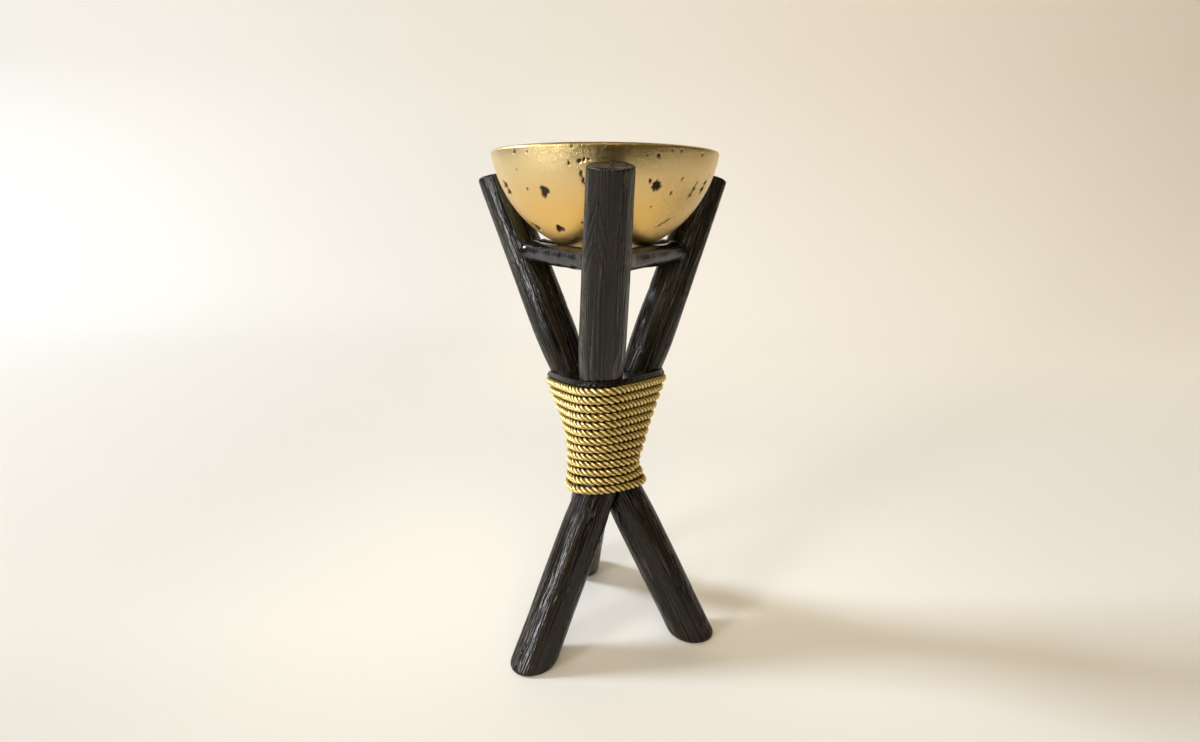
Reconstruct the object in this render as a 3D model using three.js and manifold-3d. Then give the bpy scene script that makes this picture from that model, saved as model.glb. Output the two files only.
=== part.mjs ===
// A tripod candle holder: three leaning poles cross in a three-way lap, a rope binds the crossing,
// three rungs join the poles higher up, and a round bowl for the candle rests on the rungs.
// Millimetres and degrees, +Z up, with the floor at Z = 0.

import * as THREE from 'three';
import { mergeVertices } from 'three/addons/utils/BufferGeometryUtils.js';
import Module from 'manifold-3d';

const wasm = await Module();
wasm.setup();

// The front pole's axis, by the circles round the tripod's middle on which the poles' upper ends,
// crossing and feet lie, an angle on each circle and its height
const TOP_CIRCLE_RADIUS = 76.86;
const TOP_ANGLE = -87.9;
const TOP_HEIGHT = 288.9;
const CROSSING_CIRCLE_RADIUS = 7.1;
const CROSSING_ANGLE = -116.4;
const CROSSING_HEIGHT = 127.4;
const FOOT_CIRCLE_RADIUS = 60.9;
const FOOT_ANGLE = 106.2;
const BEND_HEIGHT = 25;

// The poles: round, thinner towards the upper end and under the rope's first and last turns. Their
// upper ends lie between level and square to the pole.
const POLE_COUNT = 3;
const POLE_DIAMETER = 27;
const POLE_TOP_DIAMETER = 22.4;
const UPPER_NECK_DIAMETER = 24.3;
const UPPER_NECK_DEPTH = 12;
const UPPER_NECK_LENGTH = 27;
const LOWER_NECK_DIAMETER = 25;
const LOWER_NECK_LENGTH = 13;
const TOP_SQUARENESS = 0.55;
const TOP_SQUARENESS_LENGTH = 30;
const FOOT_EDGE_RADIUS = 2.8;
const TOP_EDGE_RADIUS = 1.4;

// The rungs and the stub tenons on their ends
const RUNG_DIAMETER = 12.2;
const RUNG_FLARE_DEPTH = 1.5;
const RUNG_FLARE_LENGTH = 13;
const TENON_DIAMETER = 6;
const TENON_AXIS_GAP = 7.6;

// The bowl: part of a sphere, with a rounded rim and a flat floor for the candle, clear of the poles
const BOWL_SPHERE_RADIUS = 63.6;
const BOWL_DEPTH = 55.5;
const BOWL_WALL = 2.8;
const BOWL_FLOOR_DIAMETER = 48;
const BOWL_CLEARANCE = 2.9;

// The rope, whose top height counts from the crossing, and the slant of its turns, higher in front
const ROPE_DIAMETER = 4.7;
const ROPE_PITCH = 5.55;
const ROPE_TURNS = 13;
const ROPE_TOP_HEIGHT = 42.9;
const SLANT_AT_TOP = 0.136;
const SLANT_AT_BOTTOM = 0.2;

// The moulded core between the poles, with a sloped lip that follows the rope's first turn, and the
// share of a turn over which the lip climbs back to the rope's start
const CORE_DEPTH = 32;
const CORE_INSET_DEPTH = 0.9;
const LIP_WIDTH = 2.9;
const LIP_TOP_WIDTH = 1.3;
const LIP_HEIGHT = 3.2;
const LIP_EDGE_RADIUS = 0.8;
const LIP_CLIMB_START = 0.84;
const LIP_CLIMB_END = 0.95;

// The peg down the middle of the crossing
const PEG_DIAMETER = 8;
const PEG_LENGTH = 28;

// The clearance between pieces that touch
const FIT_GAP = 0.3;

// How finely round and bent surfaces are cut into facets
const POLE_SIDES = 24;
const POLE_ROWS = 14;
const RUNG_SIDES = 18;
const RUNG_FLARE_ROWS = 4;
const PEG_SIDES = 16;
const BOWL_SIDES = 48;
const BOWL_ROWS = 11;
const EDGE_ROWS = 3;
const ROPE_STEPS_A_TURN = 24;
const ROPE_SIDES = 6;
const CORE_SIDES = 42;
const CORE_ROWS = 4;

// How sharply the rope and the core turn round each pole, and the steps that settle a slanted height
// and the rungs' height
const BUNDLE_SHARPNESS = 12;
const SLANT_PASSES = 4;
const HALVINGS = 40;
const ANGLE_STEP = 0.01;

const UP = new THREE.Vector3(0, 0, 1);
const TURN = (2 * Math.PI) / POLE_COUNT;
const QUARTER = Math.PI / 2;

// Materials

const darkWood = new THREE.MeshStandardMaterial({ color: 0x2b2622, roughness: 0.42, metalness: 0 });
const darkLacquer = new THREE.MeshStandardMaterial({ color: 0x1c1918, roughness: 0.25, metalness: 0 });
const filler = new THREE.MeshStandardMaterial({ color: 0x14110f, roughness: 0.28, metalness: 0 });
const paleWood = new THREE.MeshStandardMaterial({ color: 0x8f6f4a, roughness: 0.7, metalness: 0 });
const agedGold = new THREE.MeshStandardMaterial({ color: 0xc49a4c, roughness: 0.38, metalness: 0.9 });
const ropeGold = new THREE.MeshStandardMaterial({ color: 0xb58d3f, roughness: 0.45, metalness: 0.8 });

// Solids: a closed geometry becomes a solid for cuts and joins, and a solid becomes a geometry

function solidOf(geometry) {
  const bare = geometry.clone();
  bare.deleteAttribute('normal');
  bare.deleteAttribute('uv');
  const merged = mergeVertices(bare, 1e-3);
  const corners = merged.index.array;
  const faces = [];
  for (let i = 0; i < corners.length; i += 3) {
    const [a, b, c] = corners.slice(i, i + 3);
    if (a !== b && b !== c && c !== a) {
      faces.push(a, b, c);
    }
  }
  return new wasm.Manifold(new wasm.Mesh({
    numProp: 3,
    vertProperties: Float32Array.from(merged.attributes.position.array),
    triVerts: Uint32Array.from(faces),
  }));
}

function geometryOf(solid) {
  const { vertProperties, triVerts } = solid.getMesh();
  const geometry = new THREE.BufferGeometry();
  geometry.setAttribute('position', new THREE.BufferAttribute(Float32Array.from(vertProperties), 3));
  geometry.setIndex(new THREE.BufferAttribute(Uint32Array.from(triVerts), 1));
  geometry.computeVertexNormals();
  return geometry;
}

// A lathe's geometry stood upright, so that its profile's second coordinate is a height
function uprightLathe(profile, sides) {
  return new THREE.LatheGeometry(profile, sides).rotateX(QUARTER);
}

// The points of a rounded corner, from one angle to another round its centre
function cornerPoints(radius, height, edge, from, to, rows) {
  const points = [];
  for (let i = 0; i <= rows; i++) {
    const angle = THREE.MathUtils.lerp(from, to, i / rows);
    points.push(new THREE.Vector2(radius + edge * Math.cos(angle), height + edge * Math.sin(angle)));
  }
  return points;
}

// The poles' axis: two straight runs, joined at the crossing by a parabola

function polar(spread, angle, height) {
  const turned = THREE.MathUtils.degToRad(angle);
  return new THREE.Vector3(spread * Math.cos(turned), spread * Math.sin(turned), height);
}

const top = polar(TOP_CIRCLE_RADIUS, TOP_ANGLE, TOP_HEIGHT);
const crossing = polar(CROSSING_CIRCLE_RADIUS, CROSSING_ANGLE, CROSSING_HEIGHT);
const foot = polar(FOOT_CIRCLE_RADIUS, FOOT_ANGLE, 0);
const bendStart = crossing.clone().lerp(foot, BEND_HEIGHT / CROSSING_HEIGHT);
const bendEnd = crossing.clone().lerp(top, BEND_HEIGHT / (TOP_HEIGHT - CROSSING_HEIGHT));
const lowerRun = new THREE.LineCurve3(foot, bendStart);
const bend = new THREE.QuadraticBezierCurve3(bendStart, crossing, bendEnd);
const upperRun = new THREE.LineCurve3(bendEnd, top);

// On each run the height grows evenly with the curve's own parameter
function axisAt(height) {
  let run = bend;
  if (height < bendStart.z) {
    run = lowerRun;
  } else if (height > bendEnd.z) {
    run = upperRun;
  }
  const low = run.getPoint(0).z;
  const high = run.getPoint(1).z;
  const along = (height - low) / (high - low);
  return { point: run.getPoint(along), tangent: run.getTangent(along) };
}

// Poles

const ropeTop = CROSSING_HEIGHT + ROPE_TOP_HEIGHT;
const ropeBottom = ropeTop - ROPE_TURNS * ROPE_PITCH;

function poleRadius(height) {
  const rise = Math.max(0, (height - CROSSING_HEIGHT) / (TOP_HEIGHT - CROSSING_HEIGHT));
  const taper = ((POLE_DIAMETER - POLE_TOP_DIAMETER) / 2) * rise ** 2;
  const fromUpper = (height - ropeTop + UPPER_NECK_DEPTH) / UPPER_NECK_LENGTH;
  const fromLower = (height - ropeBottom) / LOWER_NECK_LENGTH;
  const upperNeck = ((POLE_DIAMETER - UPPER_NECK_DIAMETER) / 2) * Math.exp(-(fromUpper ** 4));
  const lowerNeck = ((POLE_DIAMETER - LOWER_NECK_DIAMETER) / 2) * Math.exp(-(fromLower ** 2));
  return POLE_DIAMETER / 2 - taper - upperNeck - lowerNeck;
}

function poleProfile(grow) {
  const footRadius = poleRadius(0) + grow - FOOT_EDGE_RADIUS;
  const topRadius = poleRadius(TOP_HEIGHT) + grow - TOP_EDGE_RADIUS;
  const points = [new THREE.Vector2(0, 0)];
  points.push(...cornerPoints(footRadius, FOOT_EDGE_RADIUS, FOOT_EDGE_RADIUS, -QUARTER, 0, EDGE_ROWS));
  for (let row = 1; row < POLE_ROWS; row++) {
    const height = THREE.MathUtils.lerp(FOOT_EDGE_RADIUS, TOP_HEIGHT - TOP_EDGE_RADIUS, row / POLE_ROWS);
    points.push(new THREE.Vector2(poleRadius(height) + grow, height));
  }
  const topCorner = cornerPoints(
    topRadius, TOP_HEIGHT - TOP_EDGE_RADIUS, TOP_EDGE_RADIUS, 0, QUARTER, EDGE_ROWS);
  points.push(...topCorner);
  points.push(new THREE.Vector2(0, TOP_HEIGHT));
  return points;
}

// How square a row's plane is to the axis: level at the foot, so that the foot stands flat, square
// from the crossing up, and less square again at the upper end
function squareness(height) {
  const fromFoot = THREE.MathUtils.smoothstep(height, 0, CROSSING_HEIGHT);
  const nearTop = THREE.MathUtils.smoothstep(
    height, TOP_HEIGHT - TOP_SQUARENESS_LENGTH, TOP_HEIGHT - TOP_EDGE_RADIUS);
  return fromFoot * (1 - (1 - TOP_SQUARENESS) * nearTop);
}

// Moves an upright blank onto the leaning axis
function leanOntoAxis(geometry) {
  const position = geometry.attributes.position;
  for (let i = 0; i < position.count; i++) {
    const { point, tangent } = axisAt(position.getZ(i));
    const across = new THREE.Vector3(1, 0, 0).projectOnPlane(tangent).normalize();
    const behind = tangent.clone().cross(across);
    const offset = across.multiplyScalar(position.getX(i)).addScaledVector(behind, position.getY(i));
    const facing = UP.clone().lerp(tangent, squareness(position.getZ(i)));
    const slide = -offset.dot(facing) / tangent.dot(facing);
    const moved = point.add(offset).addScaledVector(tangent, slide);
    position.setXYZ(i, moved.x, moved.y, moved.z);
  }
  return geometry;
}

function poleBlank(grow, turn) {
  return solidOf(leanOntoAxis(uprightLathe(poleProfile(grow), POLE_SIDES)).rotateZ(turn));
}

// Everything beyond a plane, as a large block
function spaceBeyond(point, normal) {
  const size = 2 * TOP_HEIGHT;
  const block = new THREE.BoxGeometry(size, size, size).translate(0, 0, size / 2);
  block.applyQuaternion(new THREE.Quaternion().setFromUnitVectors(UP, normal));
  return solidOf(block.translate(point.x, point.y, point.z));
}

// The neighbour's side of the flat on which two poles lap
function beyondLap(turn) {
  const { point, tangent } = axisAt(CROSSING_HEIGHT);
  const otherPoint = point.clone().applyAxisAngle(UP, turn);
  const otherTangent = tangent.clone().applyAxisAngle(UP, turn);
  const normal = tangent.clone().cross(otherTangent).normalize();
  if (normal.dot(otherPoint.clone().sub(point)) < 0) {
    normal.negate();
  }
  const middle = point.clone().lerp(otherPoint, 0.5);
  return spaceBeyond(middle.addScaledVector(normal, -FIT_GAP / 2), normal);
}

// What a pole gives up to a neighbour in the lap, with flat bottom and walls that follow the neighbour
function lapNotch(turn) {
  return poleBlank(FIT_GAP, turn).intersect(beyondLap(turn));
}

function uprightCylinder(diameter, length, sides) {
  return new THREE.CylinderGeometry(diameter / 2, diameter / 2, length, sides).rotateX(QUARTER);
}

function pegSolid(grow) {
  const peg = uprightCylinder(PEG_DIAMETER + 2 * grow, PEG_LENGTH + 2 * grow, PEG_SIDES);
  return solidOf(peg.translate(0, 0, CROSSING_HEIGHT));
}

function buildPole() {
  let pole = poleBlank(0, 0);
  for (const turn of [TURN, -TURN]) {
    pole = pole.subtract(lapNotch(turn));
  }
  for (const turn of [0, -TURN]) {
    pole = pole.subtract(tenonSolid(FIT_GAP, turn));
  }
  return geometryOf(pole.subtract(pegSolid(FIT_GAP)));
}

// The bowl's place: it rests on the middles of the rungs, which join the poles' axes

function bowlCentreOver(rungHeight) {
  const { point } = axisAt(rungHeight);
  const inset = Math.hypot(point.x, point.y) * Math.cos(TURN / 2);
  const reach = BOWL_SPHERE_RADIUS + RUNG_DIAMETER / 2 + FIT_GAP;
  return rungHeight + Math.sqrt(reach ** 2 - inset ** 2);
}

// The free space between the bowl and each pole
function bowlToPole(rungHeight) {
  const centre = new THREE.Vector3(0, 0, bowlCentreOver(rungHeight));
  const nearest = new THREE.Line3(bendEnd, top).closestPointToPoint(centre, true, new THREE.Vector3());
  return centre.distanceTo(nearest) - BOWL_SPHERE_RADIUS - poleRadius(nearest.z);
}

// The height of rungs that carry the bowl just clear of the poles
function findRungHeight() {
  let low = bendEnd.z;
  let high = TOP_HEIGHT;
  for (let halving = 0; halving < HALVINGS; halving++) {
    const middle = (low + high) / 2;
    if (bowlToPole(middle) < BOWL_CLEARANCE) {
      low = middle;
    } else {
      high = middle;
    }
  }
  return (low + high) / 2;
}

const rungHeight = findRungHeight();
const bowlCentre = bowlCentreOver(rungHeight);

// Rungs: each joins the axes of two neighbouring poles, and is made here from the front pole on

const rungStart = axisAt(rungHeight).point;
const rungEnd = rungStart.clone().applyAxisAngle(UP, TURN);
const rungMiddle = rungStart.clone().lerp(rungEnd, 0.5);
const rungHalf = rungStart.distanceTo(rungEnd) / 2;

// Lays an upright piece, centred on the origin, along the rung's line
function layAlongRung(geometry) {
  const along = rungEnd.clone().sub(rungStart).normalize();
  geometry.applyQuaternion(new THREE.Quaternion().setFromUnitVectors(UP, along));
  return geometry.translate(rungMiddle.x, rungMiddle.y, rungMiddle.z);
}

function tenonSolid(grow, turn) {
  const length = 2 * (rungHalf - TENON_AXIS_GAP + grow);
  const tenon = uprightCylinder(TENON_DIAMETER + 2 * grow, length, RUNG_SIDES);
  return solidOf(layAlongRung(tenon).rotateZ(turn));
}

// The rung swells towards both poles, in a curve that starts level
function rungProfile() {
  const flareEnd = rungHalf - TENON_AXIS_GAP;
  const flareStart = rungHalf - POLE_DIAMETER / 2 - RUNG_FLARE_LENGTH;
  const side = [];
  for (let row = 0; row <= RUNG_FLARE_ROWS; row++) {
    const along = row / RUNG_FLARE_ROWS;
    const radius = RUNG_DIAMETER / 2 + RUNG_FLARE_DEPTH * along ** 2;
    side.push(new THREE.Vector2(radius, THREE.MathUtils.lerp(flareStart, flareEnd, along)));
  }
  const mirrored = side.map((point) => new THREE.Vector2(point.x, -point.y)).reverse();
  return [new THREE.Vector2(0, -flareEnd), ...mirrored, ...side, new THREE.Vector2(0, flareEnd)];
}

// The next rung's side of the upright plane through a pole in which two rungs meet
function beyondMitre(end, side) {
  const normal = UP.clone().cross(end).normalize().multiplyScalar(side);
  return spaceBeyond(end.clone().addScaledVector(normal, -FIT_GAP / 2), normal);
}

// The shoulders are hollowed to fit round the poles and mitred to the next rung's shoulders, and
// the tenons run on into the poles
function buildRung() {
  let rung = solidOf(layAlongRung(uprightLathe(rungProfile(), RUNG_SIDES)));
  for (const turn of [0, TURN]) {
    rung = rung.subtract(poleBlank(FIT_GAP, turn));
  }
  rung = rung.subtract(beyondMitre(rungStart, -1)).subtract(beyondMitre(rungEnd, 1));
  return geometryOf(rung.add(tenonSolid(0, 0)));
}

// Bowl

function bowlProfile() {
  const innerRadius = BOWL_SPHERE_RADIUS - BOWL_WALL;
  const middleRadius = BOWL_SPHERE_RADIUS - BOWL_WALL / 2;
  const rimDrop = BOWL_SPHERE_RADIUS - BOWL_DEPTH + BOWL_WALL / 2;
  const rimAngle = -Math.asin(rimDrop / middleRadius);
  const rimRadius = middleRadius * Math.cos(rimAngle);
  const floorAngle = -Math.acos(BOWL_FLOOR_DIAMETER / 2 / innerRadius);
  const arc = (radius, from, to) => cornerPoints(0, bowlCentre, radius, from, to, BOWL_ROWS);
  const rim = cornerPoints(
    rimRadius, bowlCentre - rimDrop, BOWL_WALL / 2, rimAngle, rimAngle + Math.PI, 2 * EDGE_ROWS);
  return [
    ...arc(BOWL_SPHERE_RADIUS, -QUARTER, rimAngle),
    ...rim.slice(1, -1),
    ...arc(innerRadius, rimAngle, floorAngle),
    new THREE.Vector2(0, bowlCentre + innerRadius * Math.sin(floorAngle)),
  ];
}

function buildBowl() {
  return geometryOf(solidOf(uprightLathe(bowlProfile(), BOWL_SIDES)));
}

// The bundle: the outline that a tight line takes round the three poles at one height

// How far the bundle reaches from the middle in one direction, rounded off between the poles
function bundleReach(angle, height) {
  const { point, tangent } = axisAt(height);
  let sum = 0;
  for (let pole = 0; pole < POLE_COUNT; pole++) {
    const x = Math.cos(angle - pole * TURN);
    const y = Math.sin(angle - pole * TURN);
    const lean = (tangent.x * x + tangent.y * y) / tangent.z;
    const reach = point.x * x + point.y * y + poleRadius(height) * Math.hypot(1, lean);
    sum += Math.max(0, reach) ** BUNDLE_SHARPNESS;
  }
  return sum ** (1 / BUNDLE_SHARPNESS);
}

// The point of that outline which faces one direction, moved outwards by a distance
function bundlePoint(angle, height, out) {
  const reach = bundleReach(angle, height) + out;
  const change = bundleReach(angle + ANGLE_STEP, height) - bundleReach(angle - ANGLE_STEP, height);
  const slope = change / (2 * ANGLE_STEP);
  const x = reach * Math.cos(angle) - slope * Math.sin(angle);
  const y = reach * Math.sin(angle) + slope * Math.cos(angle);
  return new THREE.Vector3(x, y, height);
}

// The same on a slanted level, which meets the tripod's middle at the height given
function slantedPoint(angle, height, out, slant) {
  let point = bundlePoint(angle, height, out);
  for (let pass = 0; pass < SLANT_PASSES; pass++) {
    point = bundlePoint(angle, height - slant * point.y, out);
  }
  return point;
}

// Rope: one tube, wound from the back of the bundle downwards in a right-handed screw

function ropePoint(step) {
  const turns = step / ROPE_STEPS_A_TURN;
  const angle = QUARTER - 2 * Math.PI * turns;
  const height = ropeTop - ROPE_PITCH * turns;
  const slant = THREE.MathUtils.lerp(SLANT_AT_TOP, SLANT_AT_BOTTOM, turns / ROPE_TURNS);
  const out = (ROPE_DIAMETER / 2 + FIT_GAP) / axisAt(height).tangent.z;
  const outward = new THREE.Vector3(Math.cos(angle), Math.sin(angle), 0);
  return { point: slantedPoint(angle, height, out, slant), outward };
}

// Both ends run on straight for one diameter
function ropePath() {
  const path = [];
  for (let step = 0; step <= ROPE_TURNS * ROPE_STEPS_A_TURN; step++) {
    path.push(ropePoint(step));
  }
  const runOn = (last, before) => {
    const onward = last.point.clone().sub(before.point).setLength(ROPE_DIAMETER);
    return { point: last.point.clone().add(onward), outward: last.outward };
  };
  return [runOn(path[0], path[1]), ...path, runOn(path.at(-1), path.at(-2))];
}

function tubeGeometry(path, radius, sides) {
  const positions = [];
  const faces = [];
  path.forEach(({ point, outward }, ring) => {
    const next = path[Math.min(ring + 1, path.length - 1)].point;
    const previous = path[Math.max(ring - 1, 0)].point;
    const tangent = next.clone().sub(previous).normalize();
    const out = outward.clone().projectOnPlane(tangent).normalize();
    const side = tangent.clone().cross(out);
    for (let corner = 0; corner < sides; corner++) {
      const angle = (2 * Math.PI * corner) / sides;
      const offset = out.clone().multiplyScalar(Math.cos(angle)).addScaledVector(side, Math.sin(angle));
      positions.push(...point.clone().addScaledVector(offset, radius).toArray());
    }
  });
  for (let ring = 0; ring < path.length - 1; ring++) {
    for (let corner = 0; corner < sides; corner++) {
      const a = ring * sides + corner;
      const b = ring * sides + ((corner + 1) % sides);
      faces.push(a, b, b + sides, a, b + sides, a + sides);
    }
  }
  const last = (path.length - 1) * sides;
  for (let corner = 1; corner < sides - 1; corner++) {
    faces.push(0, corner + 1, corner);
    faces.push(last, last + corner, last + corner + 1);
  }
  const geometry = new THREE.BufferGeometry();
  geometry.setAttribute('position', new THREE.Float32BufferAttribute(positions, 3));
  geometry.setIndex(faces);
  geometry.computeVertexNormals();
  return geometry;
}

// The least distance between the rope's surface here and half a turn or more further on
function leastGap(path) {
  let least = Infinity;
  for (let i = 0; i < path.length; i++) {
    for (let j = i + ROPE_STEPS_A_TURN / 2; j < path.length; j++) {
      least = Math.min(least, path[i].point.distanceTo(path[j].point) - ROPE_DIAMETER);
    }
  }
  return least;
}

function buildRope() {
  const path = ropePath();
  console.log(`Least gap of the rope to itself: ${leastGap(path).toFixed(2)} mm`);
  return tubeGeometry(path, ROPE_DIAMETER / 2, ROPE_SIDES);
}

// Core: moulded between the poles inside the rope, with a lip that runs right round them

const lipBottom = ropeTop + ROPE_DIAMETER / 2 + FIT_GAP;
const lipTop = lipBottom + LIP_HEIGHT;

// The profile's first coordinate is a radius of 100 plus how far the point stands out of the bundle
const BUNDLE_MARK = 100;

function coreProfile() {
  const inner = BUNDLE_MARK - CORE_INSET_DEPTH;
  const outer = BUNDLE_MARK + LIP_WIDTH - LIP_EDGE_RADIUS;
  const outerTop = BUNDLE_MARK + LIP_TOP_WIDTH - LIP_EDGE_RADIUS;
  const points = [new THREE.Vector2(0, lipTop - CORE_DEPTH)];
  for (let row = 0; row <= CORE_ROWS; row++) {
    const height = THREE.MathUtils.lerp(lipTop - CORE_DEPTH, lipBottom, row / CORE_ROWS);
    points.push(new THREE.Vector2(inner, height));
  }
  points.push(...cornerPoints(outer, lipBottom + LIP_EDGE_RADIUS, LIP_EDGE_RADIUS, -QUARTER, 0, EDGE_ROWS));
  const topCorner = cornerPoints(
    outerTop, lipTop - LIP_EDGE_RADIUS, LIP_EDGE_RADIUS, 0, QUARTER, EDGE_ROWS);
  points.push(...topCorner);
  points.push(new THREE.Vector2(0, lipTop - ROPE_PITCH / 2));
  return points;
}

// How far the rope's first turn lies below its start here, with a climb back to the start
function lipDrop(angle) {
  const turns = THREE.MathUtils.euclideanModulo((QUARTER - angle) / (2 * Math.PI), 1);
  return ROPE_PITCH * turns * (1 - THREE.MathUtils.smoothstep(turns, LIP_CLIMB_START, LIP_CLIMB_END));
}

// Presses an upright round blank onto the bundle's outline, slants it with the rope, and lets the lip
// follow the first turn
function pressOntoBundle(geometry) {
  const position = geometry.attributes.position;
  for (let i = 0; i < position.count; i++) {
    const radius = Math.hypot(position.getX(i), position.getY(i));
    const angle = Math.atan2(position.getY(i), position.getX(i));
    if (radius > BUNDLE_MARK / 2) {
      const drop = position.getZ(i) > lipBottom - FIT_GAP ? lipDrop(angle) : 0;
      const height = position.getZ(i) - drop;
      const point = slantedPoint(angle, height, radius - BUNDLE_MARK, SLANT_AT_TOP);
      position.setXYZ(i, point.x, point.y, point.z);
    }
  }
  return geometry;
}

function buildCore() {
  let core = solidOf(pressOntoBundle(uprightLathe(coreProfile(), CORE_SIDES)));
  for (let pole = 0; pole < POLE_COUNT; pole++) {
    core = core.subtract(poleBlank(FIT_GAP, pole * TURN));
  }
  return geometryOf(core);
}

// Assembly

function addMesh(group, name, geometry, material, turn = 0) {
  const mesh = new THREE.Mesh(geometry, material);
  mesh.name = name;
  mesh.rotation.z = turn;
  group.add(mesh);
}

function buildStand() {
  const stand = new THREE.Group();
  const pole = buildPole();
  const rung = buildRung();
  ['pole_front', 'pole_right', 'pole_left'].forEach((name, index) => {
    addMesh(stand, name, pole, darkWood, index * TURN);
  });
  ['rung_right', 'rung_back', 'rung_left'].forEach((name, index) => {
    addMesh(stand, name, rung, darkLacquer, index * TURN);
  });
  addMesh(stand, 'crossing_peg', geometryOf(pegSolid(0)), paleWood);
  addMesh(stand, 'binding_core', buildCore(), filler);
  addMesh(stand, 'rope_binding', buildRope(), ropeGold);
  return stand;
}

// The origin is on the floor, in the middle of the space that the whole object takes
function centreOnFloor(object) {
  const box = new THREE.Box3().setFromObject(object, true);
  const middle = box.getCenter(new THREE.Vector3());
  object.position.set(-middle.x, -middle.y, 0);
  return object;
}

const holder = buildStand();
addMesh(holder, 'bowl', buildBowl(), agedGold);

const candleHolder = new THREE.Group();
candleHolder.add(centreOnFloor(holder));

export default candleHolder;
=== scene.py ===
"""The looks of a tripod candle holder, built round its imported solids.

Shapes are worked out in millimetres about the tripod's middle, which is where the bowl's axis meets
the floor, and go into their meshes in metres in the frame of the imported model.
"""

import logging
import math
from dataclasses import dataclass, field
from enum import Enum
from typing import Any, Mapping, Sequence

import bpy
import numpy as np
from mathutils import Matrix, Vector


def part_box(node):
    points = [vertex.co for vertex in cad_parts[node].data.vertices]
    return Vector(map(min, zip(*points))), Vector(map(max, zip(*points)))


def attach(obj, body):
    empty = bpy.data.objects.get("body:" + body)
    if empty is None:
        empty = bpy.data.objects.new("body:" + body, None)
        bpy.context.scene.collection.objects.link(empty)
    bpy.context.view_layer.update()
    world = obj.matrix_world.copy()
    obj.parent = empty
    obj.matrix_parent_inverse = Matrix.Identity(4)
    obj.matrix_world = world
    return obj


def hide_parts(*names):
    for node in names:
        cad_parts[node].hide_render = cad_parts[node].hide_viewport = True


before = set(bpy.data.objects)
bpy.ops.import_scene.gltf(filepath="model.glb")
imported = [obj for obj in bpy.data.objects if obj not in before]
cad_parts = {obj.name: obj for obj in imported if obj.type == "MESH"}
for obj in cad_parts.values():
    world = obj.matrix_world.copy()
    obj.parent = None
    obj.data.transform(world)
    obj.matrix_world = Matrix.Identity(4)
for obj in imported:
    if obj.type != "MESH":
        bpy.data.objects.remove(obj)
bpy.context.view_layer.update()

LOG = logging.getLogger("candle_holder")
Array = np.ndarray
Triple = tuple[float, float, float]
Colour = Triple

METRES = 0.001  # in a millimetre
FULL_TURN = 2 * math.pi
POLE_TURN = FULL_TURN / 3  # from one pole to the next
FIT_GAP = 0.3  # kept free where two pieces meet, in millimetres
UPWARDS = np.array([0.0, 0.0, 1.0])
BLACK: Colour = (0.0, 0.0, 0.0)


def tripod_middle() -> Array:
    """The tripod's middle on the floor, in metres: below the centre of the round bowl."""
    low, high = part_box("bowl")
    return np.array([(low[0] + high[0]) / 2, (low[1] + high[1]) / 2, 0.0])


def polar(radius: float, degrees: float, height: float) -> Array:
    """A point by the circle that it lies on, its angle on it and its height."""
    angle = math.radians(degrees)
    return np.array([radius * math.cos(angle), radius * math.sin(angle), height])


def turned(points: Array, angle: float) -> Array:
    """Points turned about the upright axis by an angle in radians."""
    cosine, sine = math.cos(angle), math.sin(angle)
    return points @ np.array([[cosine, sine, 0.0], [-sine, cosine, 0.0], [0.0, 0.0, 1.0]])


def smooth(low: float, high: float, value: Array) -> Array:
    """The smooth step: 3s^2 - 2s^3, where s is the share of the way from low to high."""
    share = np.clip((value - low) / (high - low), 0.0, 1.0)
    return share * share * (3 - 2 * share)


def bell(offset: Array, width: float) -> Array:
    """A bell over an offset: exp(-(offset / width)^2)."""
    return np.exp(-((offset / width) ** 2))


def circle_angles(count: int) -> Array:
    """Even angles right round a circle, from 0."""
    return np.linspace(0, FULL_TURN, count, endpoint=False)


def read_along(places: Array, lengths: Array, rows: Array) -> Array:
    """Rows of three numbers known at some lengths along a line, read off at other places on it."""
    return np.stack([np.interp(places, lengths, rows[:, axis]) for axis in range(3)], -1)


def unit(vectors: Array) -> Array:
    """Vectors brought to length one."""
    return vectors / np.linalg.norm(vectors, axis=-1, keepdims=True)


def press_behind(points: Array, place: Array, normal: Array, reach: Array | float = 1.0) -> Array:
    """Presses points that stand beyond a plane back onto it.

    Formula: each point moves against the normal by its distance beyond the plane, times the reach.

    Args:
        points: The points.
        place: A point of the plane.
        normal: The plane's unit normal, towards the side that is left free.
        reach: How much of the way each point goes, from 0 to 1.

    Returns:
        The pressed points.
    """
    beyond = np.maximum(0.0, (points - place) @ normal) * reach
    return points - beyond[..., None] * normal


def add_object(name: str, data: bpy.types.ID) -> bpy.types.Object:
    """Makes an object and puts it into the scene.

    Args:
        name: The object's name.
        data: Its mesh, camera or lamp.

    Returns:
        The new object.
    """
    made = bpy.data.objects.new(name, data)
    bpy.context.scene.collection.objects.link(made)
    return made


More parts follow.
